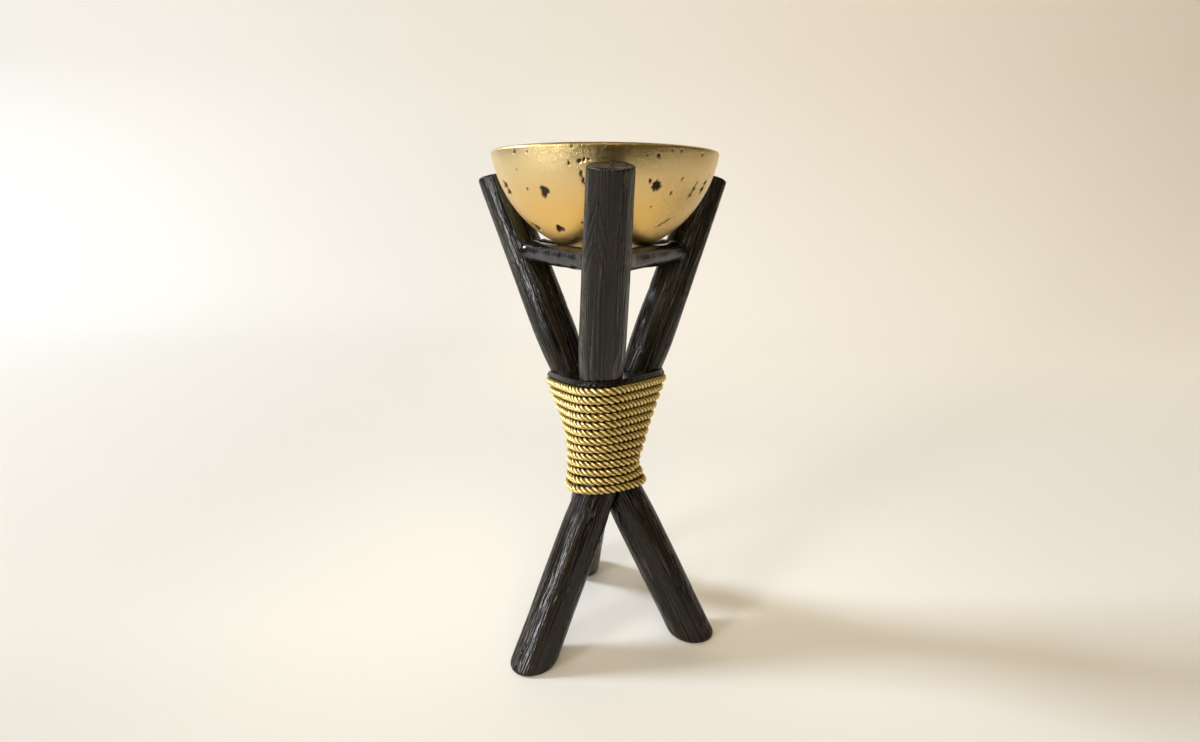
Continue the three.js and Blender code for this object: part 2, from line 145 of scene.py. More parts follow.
class Surface:
    """A closed surface on a grid whose columns run right round and whose ends are single points."""

    def __init__(self, points: Array, start: Array, end: Array) -> None:
        """Takes the grid and its two end points.

        Args:
            points: Rows by columns by three, in millimetres about the tripod's middle.
            start: The point that closes the first row.
            end: The point that closes the last row.
        """
        self.rows, self.columns = points.shape[:2]
        self.points = np.concatenate([points.reshape(-1, 3), [start], [end]])
        self.values: dict[str, Array] = {}

    def paint(self, name: str, grid: Array, start: Any = 0.0, end: Any = 0.0) -> None:
        """Keeps a number or vector for every point, to be read by the finish.

        Args:
            name: The attribute's name.
            grid: Rows by columns, with a last axis of three for vectors.
            start: The value at the first end point.
            end: The value at the last end point.
        """
        tail = grid.shape[2:]
        flat = grid.reshape((-1,) + tail)
        ends = np.array([np.broadcast_to(start, tail), np.broadcast_to(end, tail)], dtype=float)
        self.values[name] = np.concatenate([flat, ends])

    def faces(self) -> tuple[Array, Array]:
        """The quads of the grid and the triangles that close its ends, facing outwards.

        Returns:
            The quads and the triangles, as rows of point numbers.
        """
        row = np.arange(self.rows - 1)[:, None] * self.columns
        column = np.arange(self.columns)
        after = (column + 1) % self.columns
        above = row + self.columns
        ring = (row + column, row + after, above + after, above + column)
        quads = np.stack(ring, axis=-1).reshape(-1, 4)
        start = self.rows * self.columns
        last = (self.rows - 1) * self.columns
        opening = np.stack([np.full(self.columns, start), after, column], axis=-1)
        closing = np.stack([np.full(self.columns, start + 1), last + column, last + after], axis=-1)
        triangles = np.concatenate([opening, closing])
        if self._volume(quads, triangles) < 0:
            quads, triangles = quads[:, ::-1], triangles[:, ::-1]
        return quads, triangles

    def _volume(self, quads: Array, triangles: Array) -> float:
        """Six times the volume inside.

        Formula: the sum of the corners' triple products over all triangles.

        Args:
            quads: The quads, as rows of point numbers.
            triangles: The triangles, likewise.

        Returns:
            The number, which is negative if the faces point inwards.
        """
        halves = np.concatenate([quads[:, [0, 1, 2]], quads[:, [0, 2, 3]], triangles])
        a, b, c = (self.points[halves[:, corner]] for corner in range(3))
        return float(np.einsum("ij,ij->", a, np.cross(b, c)))

    def build(self, name: str, finish: bpy.types.Material) -> bpy.types.Object:
        """Makes the mesh and its object, at the origin, with smooth faces that point outwards.

        Args:
            name: The object's name.
            finish: Its material.

        Returns:
            The new object.
        """
        quads, triangles = self.faces()
        corners = np.concatenate([quads.ravel(), triangles.ravel()])
        starts = np.concatenate([
            np.arange(len(quads)) * 4,
            quads.size + np.arange(len(triangles)) * 3,
        ])
        mesh = bpy.data.meshes.new(name)
        mesh.vertices.add(len(self.points))
        placed = self.points * METRES + tripod_middle()
        mesh.vertices.foreach_set("co", placed.astype(np.float32).ravel())
        mesh.loops.add(len(corners))
        mesh.loops.foreach_set("vertex_index", corners.astype(np.int32))
        mesh.polygons.add(len(starts))
        mesh.polygons.foreach_set("loop_start", starts.astype(np.int32))
        mesh.update(calc_edges=True)
        mesh.polygons.foreach_set("use_smooth", np.ones(len(starts), dtype=bool))
        for key, values in self.values.items():
            kind, slot = ("FLOAT", "value") if values.ndim == 1 else ("FLOAT_VECTOR", "vector")
            attribute = mesh.attributes.new(key, kind, "POINT")
            attribute.data.foreach_set(slot, values.astype(np.float32).ravel())
        mesh.materials.append(finish)
        return add_object(name, mesh)


# Finishes


class Signal:
    """A node's output socket. An expression on it adds Math nodes."""

    def __init__(self, graph: "Graph", socket: bpy.types.NodeSocket) -> None:
        """Wraps one output socket of a graph."""
        self.graph = graph
        self.socket = socket

    def _math(self, operation: str, first: Any, second: Any) -> "Signal":
        """Adds one Math node on two numbers or signals."""
        return self.graph.node("ShaderNodeMath", {"operation": operation}, {0: first, 1: second})

    def __add__(self, other: Any) -> "Signal":
        """Self plus other."""
        return self._math("ADD", self, other)

    def __radd__(self, other: Any) -> "Signal":
        """Other plus self."""
        return self._math("ADD", other, self)

    def __sub__(self, other: Any) -> "Signal":
        """Self less other."""
        return self._math("SUBTRACT", self, other)

    def __rsub__(self, other: Any) -> "Signal":
        """Other less self."""
        return self._math("SUBTRACT", other, self)

    def __mul__(self, other: Any) -> "Signal":
        """Self times other."""
        return self._math("MULTIPLY", self, other)

    def __pow__(self, other: Any) -> "Signal":
        """Self to the power of other."""
        return self._math("POWER", self, other)

    def higher(self, other: Any) -> "Signal":
        """The higher of self and other."""
        return self._math("MAXIMUM", self, other)

    def step(self, low: float, high: float) -> "Signal":
        """The smooth step of self from low to high."""
        inputs = {0: self, 1: low, 2: high, 3: 0.0, 4: 1.0}
        return self.graph.node("ShaderNodeMapRange", {"interpolation_type": "SMOOTHSTEP"}, inputs)


class Graph:
    """The node tree of one material with a single Principled shader."""

    def __init__(self, name: str) -> None:
        """Starts a material.

        Args:
            name: The material's name.
        """
        self.material = bpy.data.materials.new(name)
        self.material.use_nodes = True
        self.tree = self.material.node_tree
        self.shader = self.tree.nodes["Principled BSDF"]

    def node(
        self,
        kind: str,
        settings: Mapping[str, Any] = {},
        inputs: Mapping[Any, Any] = {},
        output: int | str = 0,
    ) -> Signal:
        """Adds one node.

        Args:
            kind: The node's type.
            settings: Its properties; stops is a colour ramp's list of place and colour.
            inputs: Numbers, colours or signals by socket.
            output: The output that the signal stands for.

        Returns:
            The signal of that output.
        """
        node = self.tree.nodes.new(kind)
        for key, value in settings.items():
            if key == "stops":
                self._set_stops(node, value)
            else:
                setattr(node, key, value)
        for key, value in inputs.items():
            self._feed(node.inputs[key], value)
        return Signal(self, node.outputs[output])

    def _set_stops(self, node: bpy.types.Node, stops: Sequence[tuple[float, Colour]]) -> None:
        """Gives a colour ramp its stops.

        Args:
            node: The colour ramp.
            stops: The place from 0 to 1 and the colour of each.
        """
        elements = node.color_ramp.elements
        while len(elements) < len(stops):
            elements.new(1.0)
        for element, (place, colour) in zip(elements, stops):
            element.position = place
            element.color = (*colour, 1.0)

    def _feed(self, socket: bpy.types.NodeSocket, value: Any) -> None:
        """Links a signal to an input socket, or sets a plain value on it.

        Args:
            socket: The input socket.
            value: The signal, number or colour.
        """
        if isinstance(value, Signal):
            self.tree.links.new(value.socket, socket)
        else:
            socket.default_value = value

    def shade(self, **inputs: Any) -> bpy.types.Material:
        """Feeds the shader, which finishes the material.

        Args:
            inputs: Signals or plain values by socket, named with underscores for spaces.

        Returns:
            The material.
        """
        for key, value in inputs.items():
            self._feed(self.shader.inputs[key.replace("_", " ")], value)
        return self.material

    def attribute(self, name: str, output: str = "Fac") -> Signal:
        """A number, or with output Vector a vector, that the mesh carries."""
        return self.node("ShaderNodeAttribute", {"attribute_name": name}, output=output)

    def place(self) -> Signal:
        """The object's own coordinates, in millimetres."""
        metres = self.node("ShaderNodeTexCoord", output="Object")
        return self.stretch(metres, (1 / METRES,) * 3)

    def stretch(self, vector: Signal, factors: Triple) -> Signal:
        """A vector times a factor on each axis."""
        return self.node("ShaderNodeVectorMath", {"operation": "MULTIPLY"}, {0: vector, 1: factors})

    def noise(
        self,
        vector: Signal,
        scale: float,
        detail: float = 4.0,
        rough: float = 0.55,
    ) -> Signal:
        """Noise round one half, by how many waves it has in a unit of the vector."""
        inputs = {"Vector": vector, "Scale": scale, "Detail": detail, "Roughness": rough}
        return self.node("ShaderNodeTexNoise", {}, inputs)

    def ramp(self, signal: Signal, stops: Sequence[tuple[float, Colour]]) -> Signal:
        """A colour ramp over a number."""
        return self.node("ShaderNodeValToRGB", {"stops": stops}, {"Fac": signal})

    def blend(self, share: Any, first: Any, second: Any) -> Signal:
        """The first colour turned into the second.

        Args:
            share: How far, from 0 to 1.
            first: The first colour.
            second: The second colour.

        Returns:
            The mixed colour.
        """
        colours = [(*c, 1.0) if isinstance(c, tuple) else c for c in (first, second)]
        settings = {"data_type": "RGBA"}
        return self.node("ShaderNodeMix", settings, {0: share, 6: colours[0], 7: colours[1]}, 2)

    def bump(self, height: Signal, depth: float, before: Signal | None = None) -> Signal:
        """A normal with bumps.

        Args:
            height: How high the surface stands, from 0 to 1.
            depth: What 1 stands for, in millimetres.
            before: The normal of coarser bumps, on which these lie.

        Returns:
            The normal.
        """
        inputs: dict[str, Any] = {"Height": height, "Distance": depth * METRES, "Strength": 1.0}
        if before is not None:
            inputs["Normal"] = before
        return self.node("ShaderNodeBump", {}, inputs)


@dataclass(frozen=True)
class CarvedWood:
    """Dark carved wood under a satin varnish, lighter on its ridges and, as painted shade, nearly
    black in its cuts.
    """

    name: str = "carved_dark_wood"
    # near-black: painted shade in the cuts and scores, and the darkest grain
    cut: Colour = (0.002, 0.0015, 0.0012)
    body: Colour = (0.011, 0.0075, 0.004)
    ridge: Colour = (0.025, 0.017, 0.0085)
    # painted highlight along both sides of each score
    edge: Colour = (0.07, 0.056, 0.038)
    lengthwise: float = 0.02
    streaks_per_mm: float = 0.42
    fibres_per_mm: float = 1.2
    scores_per_mm: float = 0.19
    dimples_per_mm: float = 0.9
    streak_depth: float = 0.09
    fibre_depth: float = 0.025
    score_depth: float = 0.4
    dimple_depth: float = 0.05
    roughness: float = 0.12
    specular: float = 0.3

    def material(self) -> bpy.types.Material:
        """Streaks and fibres lie along the straightened pole, and scores where a noise is one half.

        Returns:
            The material.
        """
        graph = Graph(self.name)
        straight = graph.attribute("straight", "Vector")
        # The painted shade of the pole's cuts, from the mesh.
        cut = graph.attribute("cut")
        along = graph.stretch(straight, (1.0, 1.0, self.lengthwise))
        streaks = graph.noise(along, self.streaks_per_mm, 3.0, 0.5)
        fibres = graph.noise(along, self.fibres_per_mm, 2.0, 0.5)
        score = graph.noise(along, self.scores_per_mm, 1.5, 0.4)
        # How far a point lies from a score's middle: the square of the noise's distance from one
        # half, in thousandths. The score is painted dark as shade, and the wood along both its
        # sides is painted lighter as a highlight on its edges.
        apart = (score - 0.5) * (score - 0.5) * 1000.0
        scored = 1.0 - apart.step(0.15, 1.1)
        edge = apart.step(0.4, 1.3) * (1.0 - apart.step(1.3, 3.6))
        mixed = streaks * 0.7 + fibres * 0.3
        stops = [(0.36, self.cut), (0.5, self.body), (0.68, self.ridge)]
        grained = graph.blend(edge * 0.7, graph.ramp(mixed, stops), self.edge)
        colour = graph.blend(cut.higher(scored), grained, self.cut)
        dimples = graph.noise(graph.stretch(straight, (1.0, 1.0, 0.3)), self.dimples_per_mm, 2.0)
        normal = graph.bump(streaks, self.streak_depth)
        normal = graph.bump(1.0 - scored, self.score_depth, normal)
        normal = graph.bump(fibres, self.fibre_depth, normal)
        return graph.shade(
            Base_Color=colour,
            Roughness=self.roughness + fibres * 0.12 + cut * 0.25,
            Specular_IOR_Level=self.specular,
            Normal=graph.bump(dimples, self.dimple_depth, normal),
        )


@dataclass(frozen=True)
class Lacquer:
    """Glossy near-black lacquer, a little uneven as it was brushed on."""

    name: str = "black_lacquer"
    colour: Colour = (0.006, 0.005, 0.0045)
    worn: Colour = (0.016, 0.012, 0.009)
    waves_per_mm: float = 0.22
    ripple: float = 0.25
    grain_per_mm: float = 1.6
    grain_depth: float = 0.05
    roughness: float = 0.08
    shine: float = 0.3

    def material(self) -> bpy.types.Material:
        """Slow waves in the gloss under a fine grain.

        Returns:
            The material.
        """
        graph = Graph(self.name)
        place = graph.place()
        waves = graph.noise(place, self.waves_per_mm, 3.0)
        grain = graph.noise(place, self.grain_per_mm, 2.0)
        return graph.shade(
            Base_Color=graph.blend(waves.step(0.5, 0.75), self.colour, self.worn),
            Roughness=self.roughness + grain * 0.16,
            Specular_IOR_Level=self.shine,
            Normal=graph.bump(grain, self.grain_depth, graph.bump(waves, self.ripple)),
        )


@dataclass(frozen=True)
class AgedGold:
    """Satin antique gold with dark pits, a sandy grain, olive tarnishing, and painted shade and
    reflection.
    """

    name: str = "aged_gold"
    gold: Colour = (0.83, 0.53, 0.16)
    # pale: the painted highlight towards the rim
    pale: Colour = (0.79, 0.605, 0.305)
    # olive: tarnishing, and the painted reflection and painted shade that the mesh carries
    olive: Colour = (0.30, 0.22, 0.08)
    pit: Colour = (0.016, 0.007, 0.0035)
    rust: Colour = (0.10, 0.048, 0.02)
    clouds_per_mm: float = 0.045
    pebbles_per_mm: float = 0.55
    grain_per_mm: float = 2.2
    cloud_depth: float = 0.3
    pebble_depth: float = 0.3
    grain_depth: float = 0.1
    roughness: float = 0.34
    least_tarnish: float = 0.06

    def material(self) -> bpy.types.Material:
        """Pale gold on top as a painted highlight, warmer below, with tarnishing, painted shade and
        pits as the mesh carries them.

        Returns:
            The material.
        """
        graph = Graph(self.name)
        place = graph.place()
        pit = graph.attribute("pit")
        tarnish = graph.attribute("tarnish")
        paler = graph.attribute("paler")
        clouds = graph.noise(place, self.clouds_per_mm, 4.0)
        grain = graph.noise(place, self.grain_per_mm, 4.0, 0.7)
        pebbles = graph.noise(place, self.pebbles_per_mm, 2.0)
        sand = (grain - 0.5) * 0.55 + (pebbles - 0.5) * 0.3
        gold = graph.blend(paler, self.gold, self.pale)
        # Darkening to olive: the mesh's painted reflection and painted shade, with clouds, sand and
        # a little tarnishing everywhere.
        darkening = tarnish * (0.55 + clouds * 0.9) + sand + self.least_tarnish
        darkened = graph.blend(darkening.step(0.1, 1.0), gold, self.olive)
        inside = graph.blend(grain.step(0.42, 0.7), self.pit, self.rust)
        normal = graph.bump(clouds, self.cloud_depth)
        normal = graph.bump(pebbles * (0.22 + tarnish), self.pebble_depth, normal)
        return graph.shade(
            Base_Color=graph.blend(pit, darkened, inside),
            Metallic=1.0 - pit * 0.85,
            Roughness=self.roughness + (grain - 0.5) * 0.18 + pit * 0.4,
            Normal=graph.bump(grain, self.grain_depth, normal),
        )


@dataclass(frozen=True)
class RopeGold:
    """Gold on the strands' crests, rubbed off to dark brown between them, and painted dark as shade
    on the sides that face the next turns.
    """

    name: str = "rope_gold"
    crest: Colour = (0.87, 0.68, 0.27)
    flank: Colour = (0.45, 0.29, 0.07)
    # hollow: the dark brown between strands, and the painted shade where a turn faces the next
    hollow: Colour = (0.012, 0.006, 0.002)
    rubs_per_mm: float = 1.1
    rub_depth: float = 0.25
    yarn_depth: float = 0.12

    def material(self) -> bpy.types.Material:
        """Colour follows how deep a point lies in the rope, with painted shade where it faces the
        next turns, and fine yarns run along each strand.

        Returns:
            The material.
        """
        graph = Graph(self.name)
        crest = graph.attribute("crest")
        yarn = graph.attribute("yarn")
        rub = graph.noise(graph.place(), self.rubs_per_mm, 3.0)
        # Painted shade: crest is low where the rope faces the next turns, so it goes dark.
        worn = crest * 0.8 + yarn * 0.25 + (rub - 0.47) * 0.75
        colour = graph.ramp(worn, [(0.16, self.hollow), (0.45, self.flank), (0.8, self.crest)])
        return graph.shade(
            Base_Color=colour,
            Metallic=worn.step(0.1, 0.5) * 0.9,
            Roughness=0.62 - worn.step(0.2, 0.9) * 0.3,
            Normal=graph.bump(rub, self.rub_depth, graph.bump(yarn, self.yarn_depth)),
        )


@dataclass(frozen=True)
class PlainWood:
    """Plain pale wood, for the peg inside the crossing."""

    name: str = "pale_wood"
    early: Colour = (0.42, 0.28, 0.15)
    late: Colour = (0.27, 0.16, 0.08)
    lengthwise: float = 0.08
    rings_per_mm: float = 0.9
    ring_depth: float = 0.1

    def material(self) -> bpy.types.Material:
        """Rings stretched along the peg.

        Returns:
            The material.
        """
        graph = Graph(self.name)
        along = graph.stretch(graph.place(), (1.0, 1.0, self.lengthwise))
        rings = graph.noise(along, self.rings_per_mm)
        return graph.shade(
            Base_Color=graph.blend(rings.step(0.4, 0.65), self.early, self.late),
            Roughness=0.6 + rings * 0.2,
            Normal=graph.bump(rings, self.ring_depth),
        )


@dataclass(frozen=True)
class Paper:
    """The matt warm paper of the backdrop, which also glows a little where it rises to a wall."""

    name: str = "backdrop_paper"
    colour: Colour = (0.94, 0.903, 0.852)
    glow: Colour = (0.125, 0.095, 0.055)

    def material(self) -> bpy.types.Material:
        """The paper is painted lighter near its middle, as painted light against the tripod's own
        shade, and darker on the left, on the right and towards the front, as painted shade. It
        glows towards the back and right of the set.

        Each step says between which places, in millimetres, the painted shade or the glow comes on.
        The numbers after them are the shares of black at their ends.

        Returns:
            The material.
        """
        graph = Graph(self.name)
        place = graph.place()
        side, depth, height = (
            graph.node("ShaderNodeSeparateXYZ", {}, {0: place}, axis) for axis in "XYZ"
        )
        floor = 1.0 - height.step(150.0, 800.0)
        reach = (side * side + depth * depth) ** 0.5
        # Painted light and shade: lighter near the middle, darker on the right, on the left floor
        # and towards the front.
        darkening = side.step(100.0, 700.0) * 0.02 + reach.step(110.0, 430.0) * 0.08
        darkening = darkening + side.step(-20.0, -400.0) * floor * 0.09 + depth.step(10.0, -110.0) * 0.08
        bright = depth.step(150.0, 800.0) * side.step(-900.0, 1000.0)
        return graph.shade(
            Base_Color=graph.blend(darkening, self.colour, BLACK),
            Roughness=0.95,
            Specular_IOR_Level=0.1,
            Emission_Color=graph.blend(bright, BLACK, self.glow),
            Emission_Strength=1.0,
        )


# The tripod's shape


@dataclass(frozen=True)
class PoleAxis:
    """The front pole's bent axis: two straight runs joined by a parabola at the crossing.

    A place is the radius of a circle round the tripod's middle, an angle on it and a height.
    """

    top: Triple = (76.86, -87.9, 288.9)
    crossing: Triple = (7.1, -116.4, 127.4)
    foot: Triple = (60.9, 106.2, 0.0)
    bend_height: float = 25.0

    def at(self, height: Array) -> tuple[Array, Array]:
        """Points and unit tangents at given heights.

        Formula: a straight run's point is its low end plus the climbed share s of its span. In the
        bend, the ends and the crossing are weighed by (1-s)^2, s^2 and 2s(1-s).

        Args:
            height: The heights.

        Returns:
            The points and the unit tangents, upwards.
        """
        foot, crossing, top = (polar(*place) for place in (self.foot, self.crossing, self.top))
        low = crossing + (foot - crossing) * self.bend_height / (crossing[2] - foot[2])
        high = crossing + (top - crossing) * self.bend_height / (top[2] - crossing[2])
        height = np.asarray(height, dtype=float)[..., None]
        share = (height - low[2]) / (high[2] - low[2])
        below, above = height < low[2], height > high[2]
        lower = foot + (low - foot) * (height - foot[2]) / (low[2] - foot[2])
        upper = high + (top - high) * (height - high[2]) / (top[2] - high[2])
        bend = (1 - share) ** 2 * low + 2 * share * (1 - share) * crossing + share**2 * high
        slope = (1 - share) * (crossing - low) + share * (high - crossing)
        point = np.where(below, lower, np.where(above, upper, bend))
        tangent = np.where(below, low - foot, np.where(above, top - high, slope))
        return point, unit(tangent)


@dataclass(frozen=True)
class PoleShape:
    """The poles' thickness, thinner towards the upper end and at both ends of the binding.

    A neck is a diameter, the height of its middle and how far it reaches. Slack is how much less
    square to its axis the upper end is cut, and over which length that grows.
    """

    diameter: float = 27.0
    top_diameter: float = 22.4
    upper_neck: Triple = (24.3, 158.3, 27.0)
    lower_neck: Triple = (25.0, 98.15, 13.0)
    foot_edge: float = 2.8
    top_edge: float = 1.4
    slack: float = 0.45
    slack_length: float = 30.0

    def radius(self, height: Array) -> Array:
        """The radius at given heights.

        Formula: half the diameter, less a taper that grows with the square of the height above the
        crossing, less two necks, which fall off as exp(-u^4) and exp(-u^2) away from their middles.

        Args:
            height: The heights.

        Returns:
            The radii.
        """
        rise = np.maximum(0.0, (height - AXIS.crossing[2]) / (AXIS.top[2] - AXIS.crossing[2]))
        taper = (self.diameter - self.top_diameter) / 2 * rise**2
        total = self.diameter / 2 - taper
        for (diameter, middle, reach), power in ((self.upper_neck, 4), (self.lower_neck, 2)):
            away = (height - middle) / reach
            total = total - (self.diameter - diameter) / 2 * np.exp(-(away**power))
        return total


AXIS = PoleAxis()
POLE = PoleShape()


def lean_onto_axis(blank: Array) -> Array:
    """Moves points of an upright blank onto the leaning axis.

    Formula: a point keeps its offset across the axis and slides along it, into a plane that is
    level at the foot, square to the axis from the crossing up, and less square at the upper end.

    Args:
        blank: Points round an upright line through the tripod's middle.

    Returns:
        The same points round the front pole's axis.
    """
    height = blank[..., 2]
    point, tangent = AXIS.at(height)
    sideways = np.array([1.0, 0.0, 0.0])
    across = unit(sideways - tangent * (tangent @ sideways)[..., None])
    behind = np.cross(tangent, across)
    offset = across * blank[..., :1] + behind * blank[..., 1:2]
    near_top = smooth(AXIS.top[2] - POLE.slack_length, AXIS.top[2] - POLE.top_edge, height)
    square = (smooth(0.0, AXIS.crossing[2], height) * (1 - POLE.slack * near_top))[..., None]
    facing = UPWARDS * (1 - square) + tangent * square
    slide = -np.sum(offset * facing, axis=-1) / np.sum(tangent * facing, axis=-1)
    return point + offset + tangent * slide[..., None]


@dataclass(frozen=True)
class Grain:
    """Long wandering streaks round a pole, the same on every run."""

    seed: int

    def waves(
        self,
        angle: Array,
        height: Array,
        counts: tuple[int, int],
        length: float,
        terms: int = 24,
    ) -> Array:
        """A sum of cosine waves with a spread of about one.

        Formula: cos(n a + k h + p), where n is a whole number within counts, k is a normal draw
        times 2 pi over the length, p is any phase, and a is the angle plus a slow wander: three
        sines of the height, each of a reach in millimetres and a share in radians.

        Args:
            angle: Angles round the pole.
            height: Heights along it.
            counts: The least and most waves round the pole.
            length: The usual length of a wave along the pole.
            terms: How many waves are summed.

        Returns:
            The sum, over the root of half the number of terms.
        """
        random = np.random.default_rng(self.seed)
        wander = np.zeros_like(height)
        for share, reach in ((0.05, 71.0), (0.035, 33.0), (0.02, 17.0)):
            phase, side = random.uniform(0, FULL_TURN, 2)
            turn = FULL_TURN * height / reach + phase + np.cos(angle + side)
            wander = wander + share * np.sin(turn)
        total = np.zeros(np.broadcast(angle, height).shape)
        for _ in range(terms):
            count = random.integers(counts[0], counts[1] + 1)
            stride = FULL_TURN / length * random.normal()
            phase = random.uniform(0, FULL_TURN)
            total += np.cos(count * (angle + wander) + stride * height + phase)
        return total / math.sqrt(terms / 2)


@dataclass(frozen=True)
class Cathedral:
    """Nested pointed cuts, as wood shows where it is cut across its rings."""

    angle: float
    apexes: tuple[float, ...]
    slope: float = 2.9
    width: float = 0.42
    reach: float = 8.0

    def cuts(self, angle: Array, height: Array) -> Array:
        """How deep the cuts are, from 0 to 1.

        Formula: exp(-(d/w)^2) of the distance d to the lines h = apex - slope (sqrt(s^2+0.2)-0.4),
        where s is the way round the pole. They fade out with s and end at their apex.

        Args:
            angle: Angles round the pole.
            height: Heights along it.

        Returns:
            The depths.
        """
        away = (angle - math.radians(self.angle) + math.pi) % FULL_TURN - math.pi
        side = away * POLE.radius(height)
        depth = np.zeros_like(height + angle)
        for apex in self.apexes:
            over = height - apex + self.slope * (np.sqrt(side**2 + 0.2) - 0.4)
            below = smooth(-1.0, 1.5, apex - height)
            depth = np.maximum(depth, bell(over / math.hypot(1, self.slope), self.width) * below)
        return depth * (1 - smooth(self.reach * 0.6, self.reach, np.abs(side)))


class PoleName(Enum):
    """The poles, by where their upper ends stand, with the turns from the front pole."""

    FRONT = 0
    RIGHT = 1
    LEFT = -1

    @property
    def node(self) -> str:
        """The pole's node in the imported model."""
        return f"pole_{self.name.lower()}"

    @property
    def angle(self) -> float:
        """How far the pole is turned from the front one, in radians."""
        return self.value * POLE_TURN


@dataclass
class Pole:
    """One carved pole, from its foot through the crossing to its upper end."""

    which: PoleName
    seed: int
    cathedral: Cathedral | None = None
    columns: int = 236
    rows: int = 252
    edge_rows: int = 7
    cap_rows: int = 7
    cap_hole: float = 0.12
    fissure_depth: float = 0.42
    fissure_width: float = 0.26
    fine_depth: float = 0.1
    fine_width: float = 0.22
    flute_depth: float = 0.3
    lump: float = 0.22
    top_wear: float = 0.25

    def _profile(self) -> tuple[Array, Array, Array]:
        """The rows of the upright blank, from the foot's middle to the upper end's.

        Formula: rounded edges are quarter circles, and between them the radius follows the height.

        Returns:
            Each row's radius, its height, and how far its surface faces outwards, from 0 to 1.
        """
        quarter = np.linspace(0, math.pi / 2, self.edge_rows)
        rising, falling = np.sin(quarter), np.cos(quarter)
        foot_radius = POLE.radius(np.array(0.0)) - POLE.foot_edge
        top = AXIS.top[2]
        top_radius = POLE.radius(np.array(top)) - POLE.top_edge
        caps = np.linspace(self.cap_hole, 1.0, self.cap_rows)[:-1]
        body = np.linspace(POLE.foot_edge, top - POLE.top_edge, self.rows)[1:-1]
        radius = np.concatenate([
            foot_radius * caps,
            foot_radius + POLE.foot_edge * rising,
            POLE.radius(body),
            top_radius + POLE.top_edge * falling,
            top_radius * caps[::-1],
        ])
        level = np.zeros_like(caps)
        heights = np.concatenate([
            level,
            POLE.foot_edge * (1 - falling),
            body,
            top - POLE.top_edge * (1 - rising),
            level + top,
        ])
        outward = np.concatenate([level, rising, np.ones_like(body), falling, level])
        return radius, heights, outward

    def _carving(self, angle: Array, height: Array) -> tuple[Array, Array]:
        """How far the surface is carved in, and how dark the cuts are painted as shade.

        Formula: fissures lie where one set of waves w crosses zero, exp(-(w/width)^2), and come and
        go with another set; fine cuts lie where a finer set crosses zero; flutes are the grooves
        exp(-3|w|) of one more set; lumps are a few slow waves.

        Args:
            angle: Angles round the pole.
            height: Heights along it.

        Returns:
            How deep the surface lies, in millimetres, and how dark it is painted as shade, from 0
            to 1.
        """
        fissure = bell(Grain(self.seed).waves(angle, height, (5, 9), 130.0), self.fissure_width)
        fade = smooth(-0.5, 0.7, Grain(self.seed + 1).waves(angle, height, (2, 6), 70.0))
        flutes = np.abs(Grain(self.seed + 2).waves(angle, height, (14, 34), 120.0))
        fine = bell(Grain(self.seed + 3).waves(angle, height, (16, 30), 90.0), self.fine_width)
        lumps = Grain(self.seed + 4).waves(angle, height, (2, 5), 110.0, 10)
        cut = fissure * fade
        if self.cathedral is not None:
            cut = np.maximum(cut, self.cathedral.cuts(angle, height))
        carved = self.fissure_depth * cut + self.flute_depth * np.exp(-3 * flutes)
        carved = carved + self.fine_depth * fine
        carved = carved + self.lump * (1 + np.clip(lumps, -1.6, 1.6)) * 0.5
        # Painted shade: darker in the fissures, the fine cuts and the flutes.
        dark = cut * 0.8 + 0.35 * fine * (1 - cut) + 0.25 * np.exp(-6 * flutes)
        return carved, np.clip(dark, 0, 1)

    def _press_at_laps(self, points: Array) -> Array:
        """Presses the pole flat where it laps its neighbours.

        Formula: the flat lies midway between the two axes at the crossing, square to the shortest
        way between them, and holds only inside the neighbour's own round.

        Args:
            points: The front pole's points.

        Returns:
            The pressed points.
        """
        crossing = np.array(AXIS.crossing[2])
        point, tangent = AXIS.at(crossing)
        for angle in (POLE_TURN, -POLE_TURN):
            other_point, other_tangent = turned(point, angle), turned(tangent, angle)
            normal = unit(np.cross(tangent, other_tangent))
            normal = normal * math.copysign(1.0, float((other_point - point) @ normal))
            axis_point, axis_tangent = AXIS.at(points[..., 2])
            near = points - turned(axis_point, angle)
            along = turned(axis_tangent, angle)
            across = near - along * np.sum(near * along, axis=-1, keepdims=True)
            off = np.linalg.norm(across, axis=-1)
            inside = 1 - smooth(-0.8, 0.8, off - POLE.radius(points[..., 2]) - FIT_GAP)
            middle = (point + other_point) / 2 - normal * FIT_GAP / 2
            points = press_behind(points, middle, normal, inside)
        return points

    def build(self, finish: bpy.types.Material) -> bpy.types.Object:
        """Makes the pole and puts it in its CAD node's place.

        Args:
            finish: Its material.

        Returns:
            The pole's object.
        """
        radius, heights, outward = self._profile()
        angle = circle_angles(self.columns)[None, :]
        height = heights[:, None] + np.zeros_like(angle)
        carved, cut = self._carving(angle, height)
        ends = smooth(0.0, 5.0, height)
        out = radius[:, None] - carved * outward[:, None] * ends
        worn = smooth(-9.0, 0.0, height - AXIS.top[2]) * (1 - outward[:, None])
        rough = Grain(self.seed + 5).waves(angle, radius[:, None] * 9, (1, 5), 60.0, 12)
        level = height - worn * self.top_wear * (1 + np.clip(rough, -1, 1))
        blank = np.stack([out * np.cos(angle), out * np.sin(angle), level], axis=-1)
        leaned = self._press_at_laps(lean_onto_axis(blank))
        start = AXIS.at(np.array(0.0))[0]
        end = AXIS.at(np.array(AXIS.top[2] - self.top_wear))[0]
        surface = Surface(*(turned(part, self.which.angle) for part in (leaned, start, end)))
        surface.paint("straight", blank, (0, 0, 0), (0, 0, AXIS.top[2]))
        # The cuts' painted shade.
        surface.paint("cut", cut)
        piece = surface.build(f"{self.which.node}_carved", finish)
        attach(piece, "stand")
        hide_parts(self.which.node)
        return piece


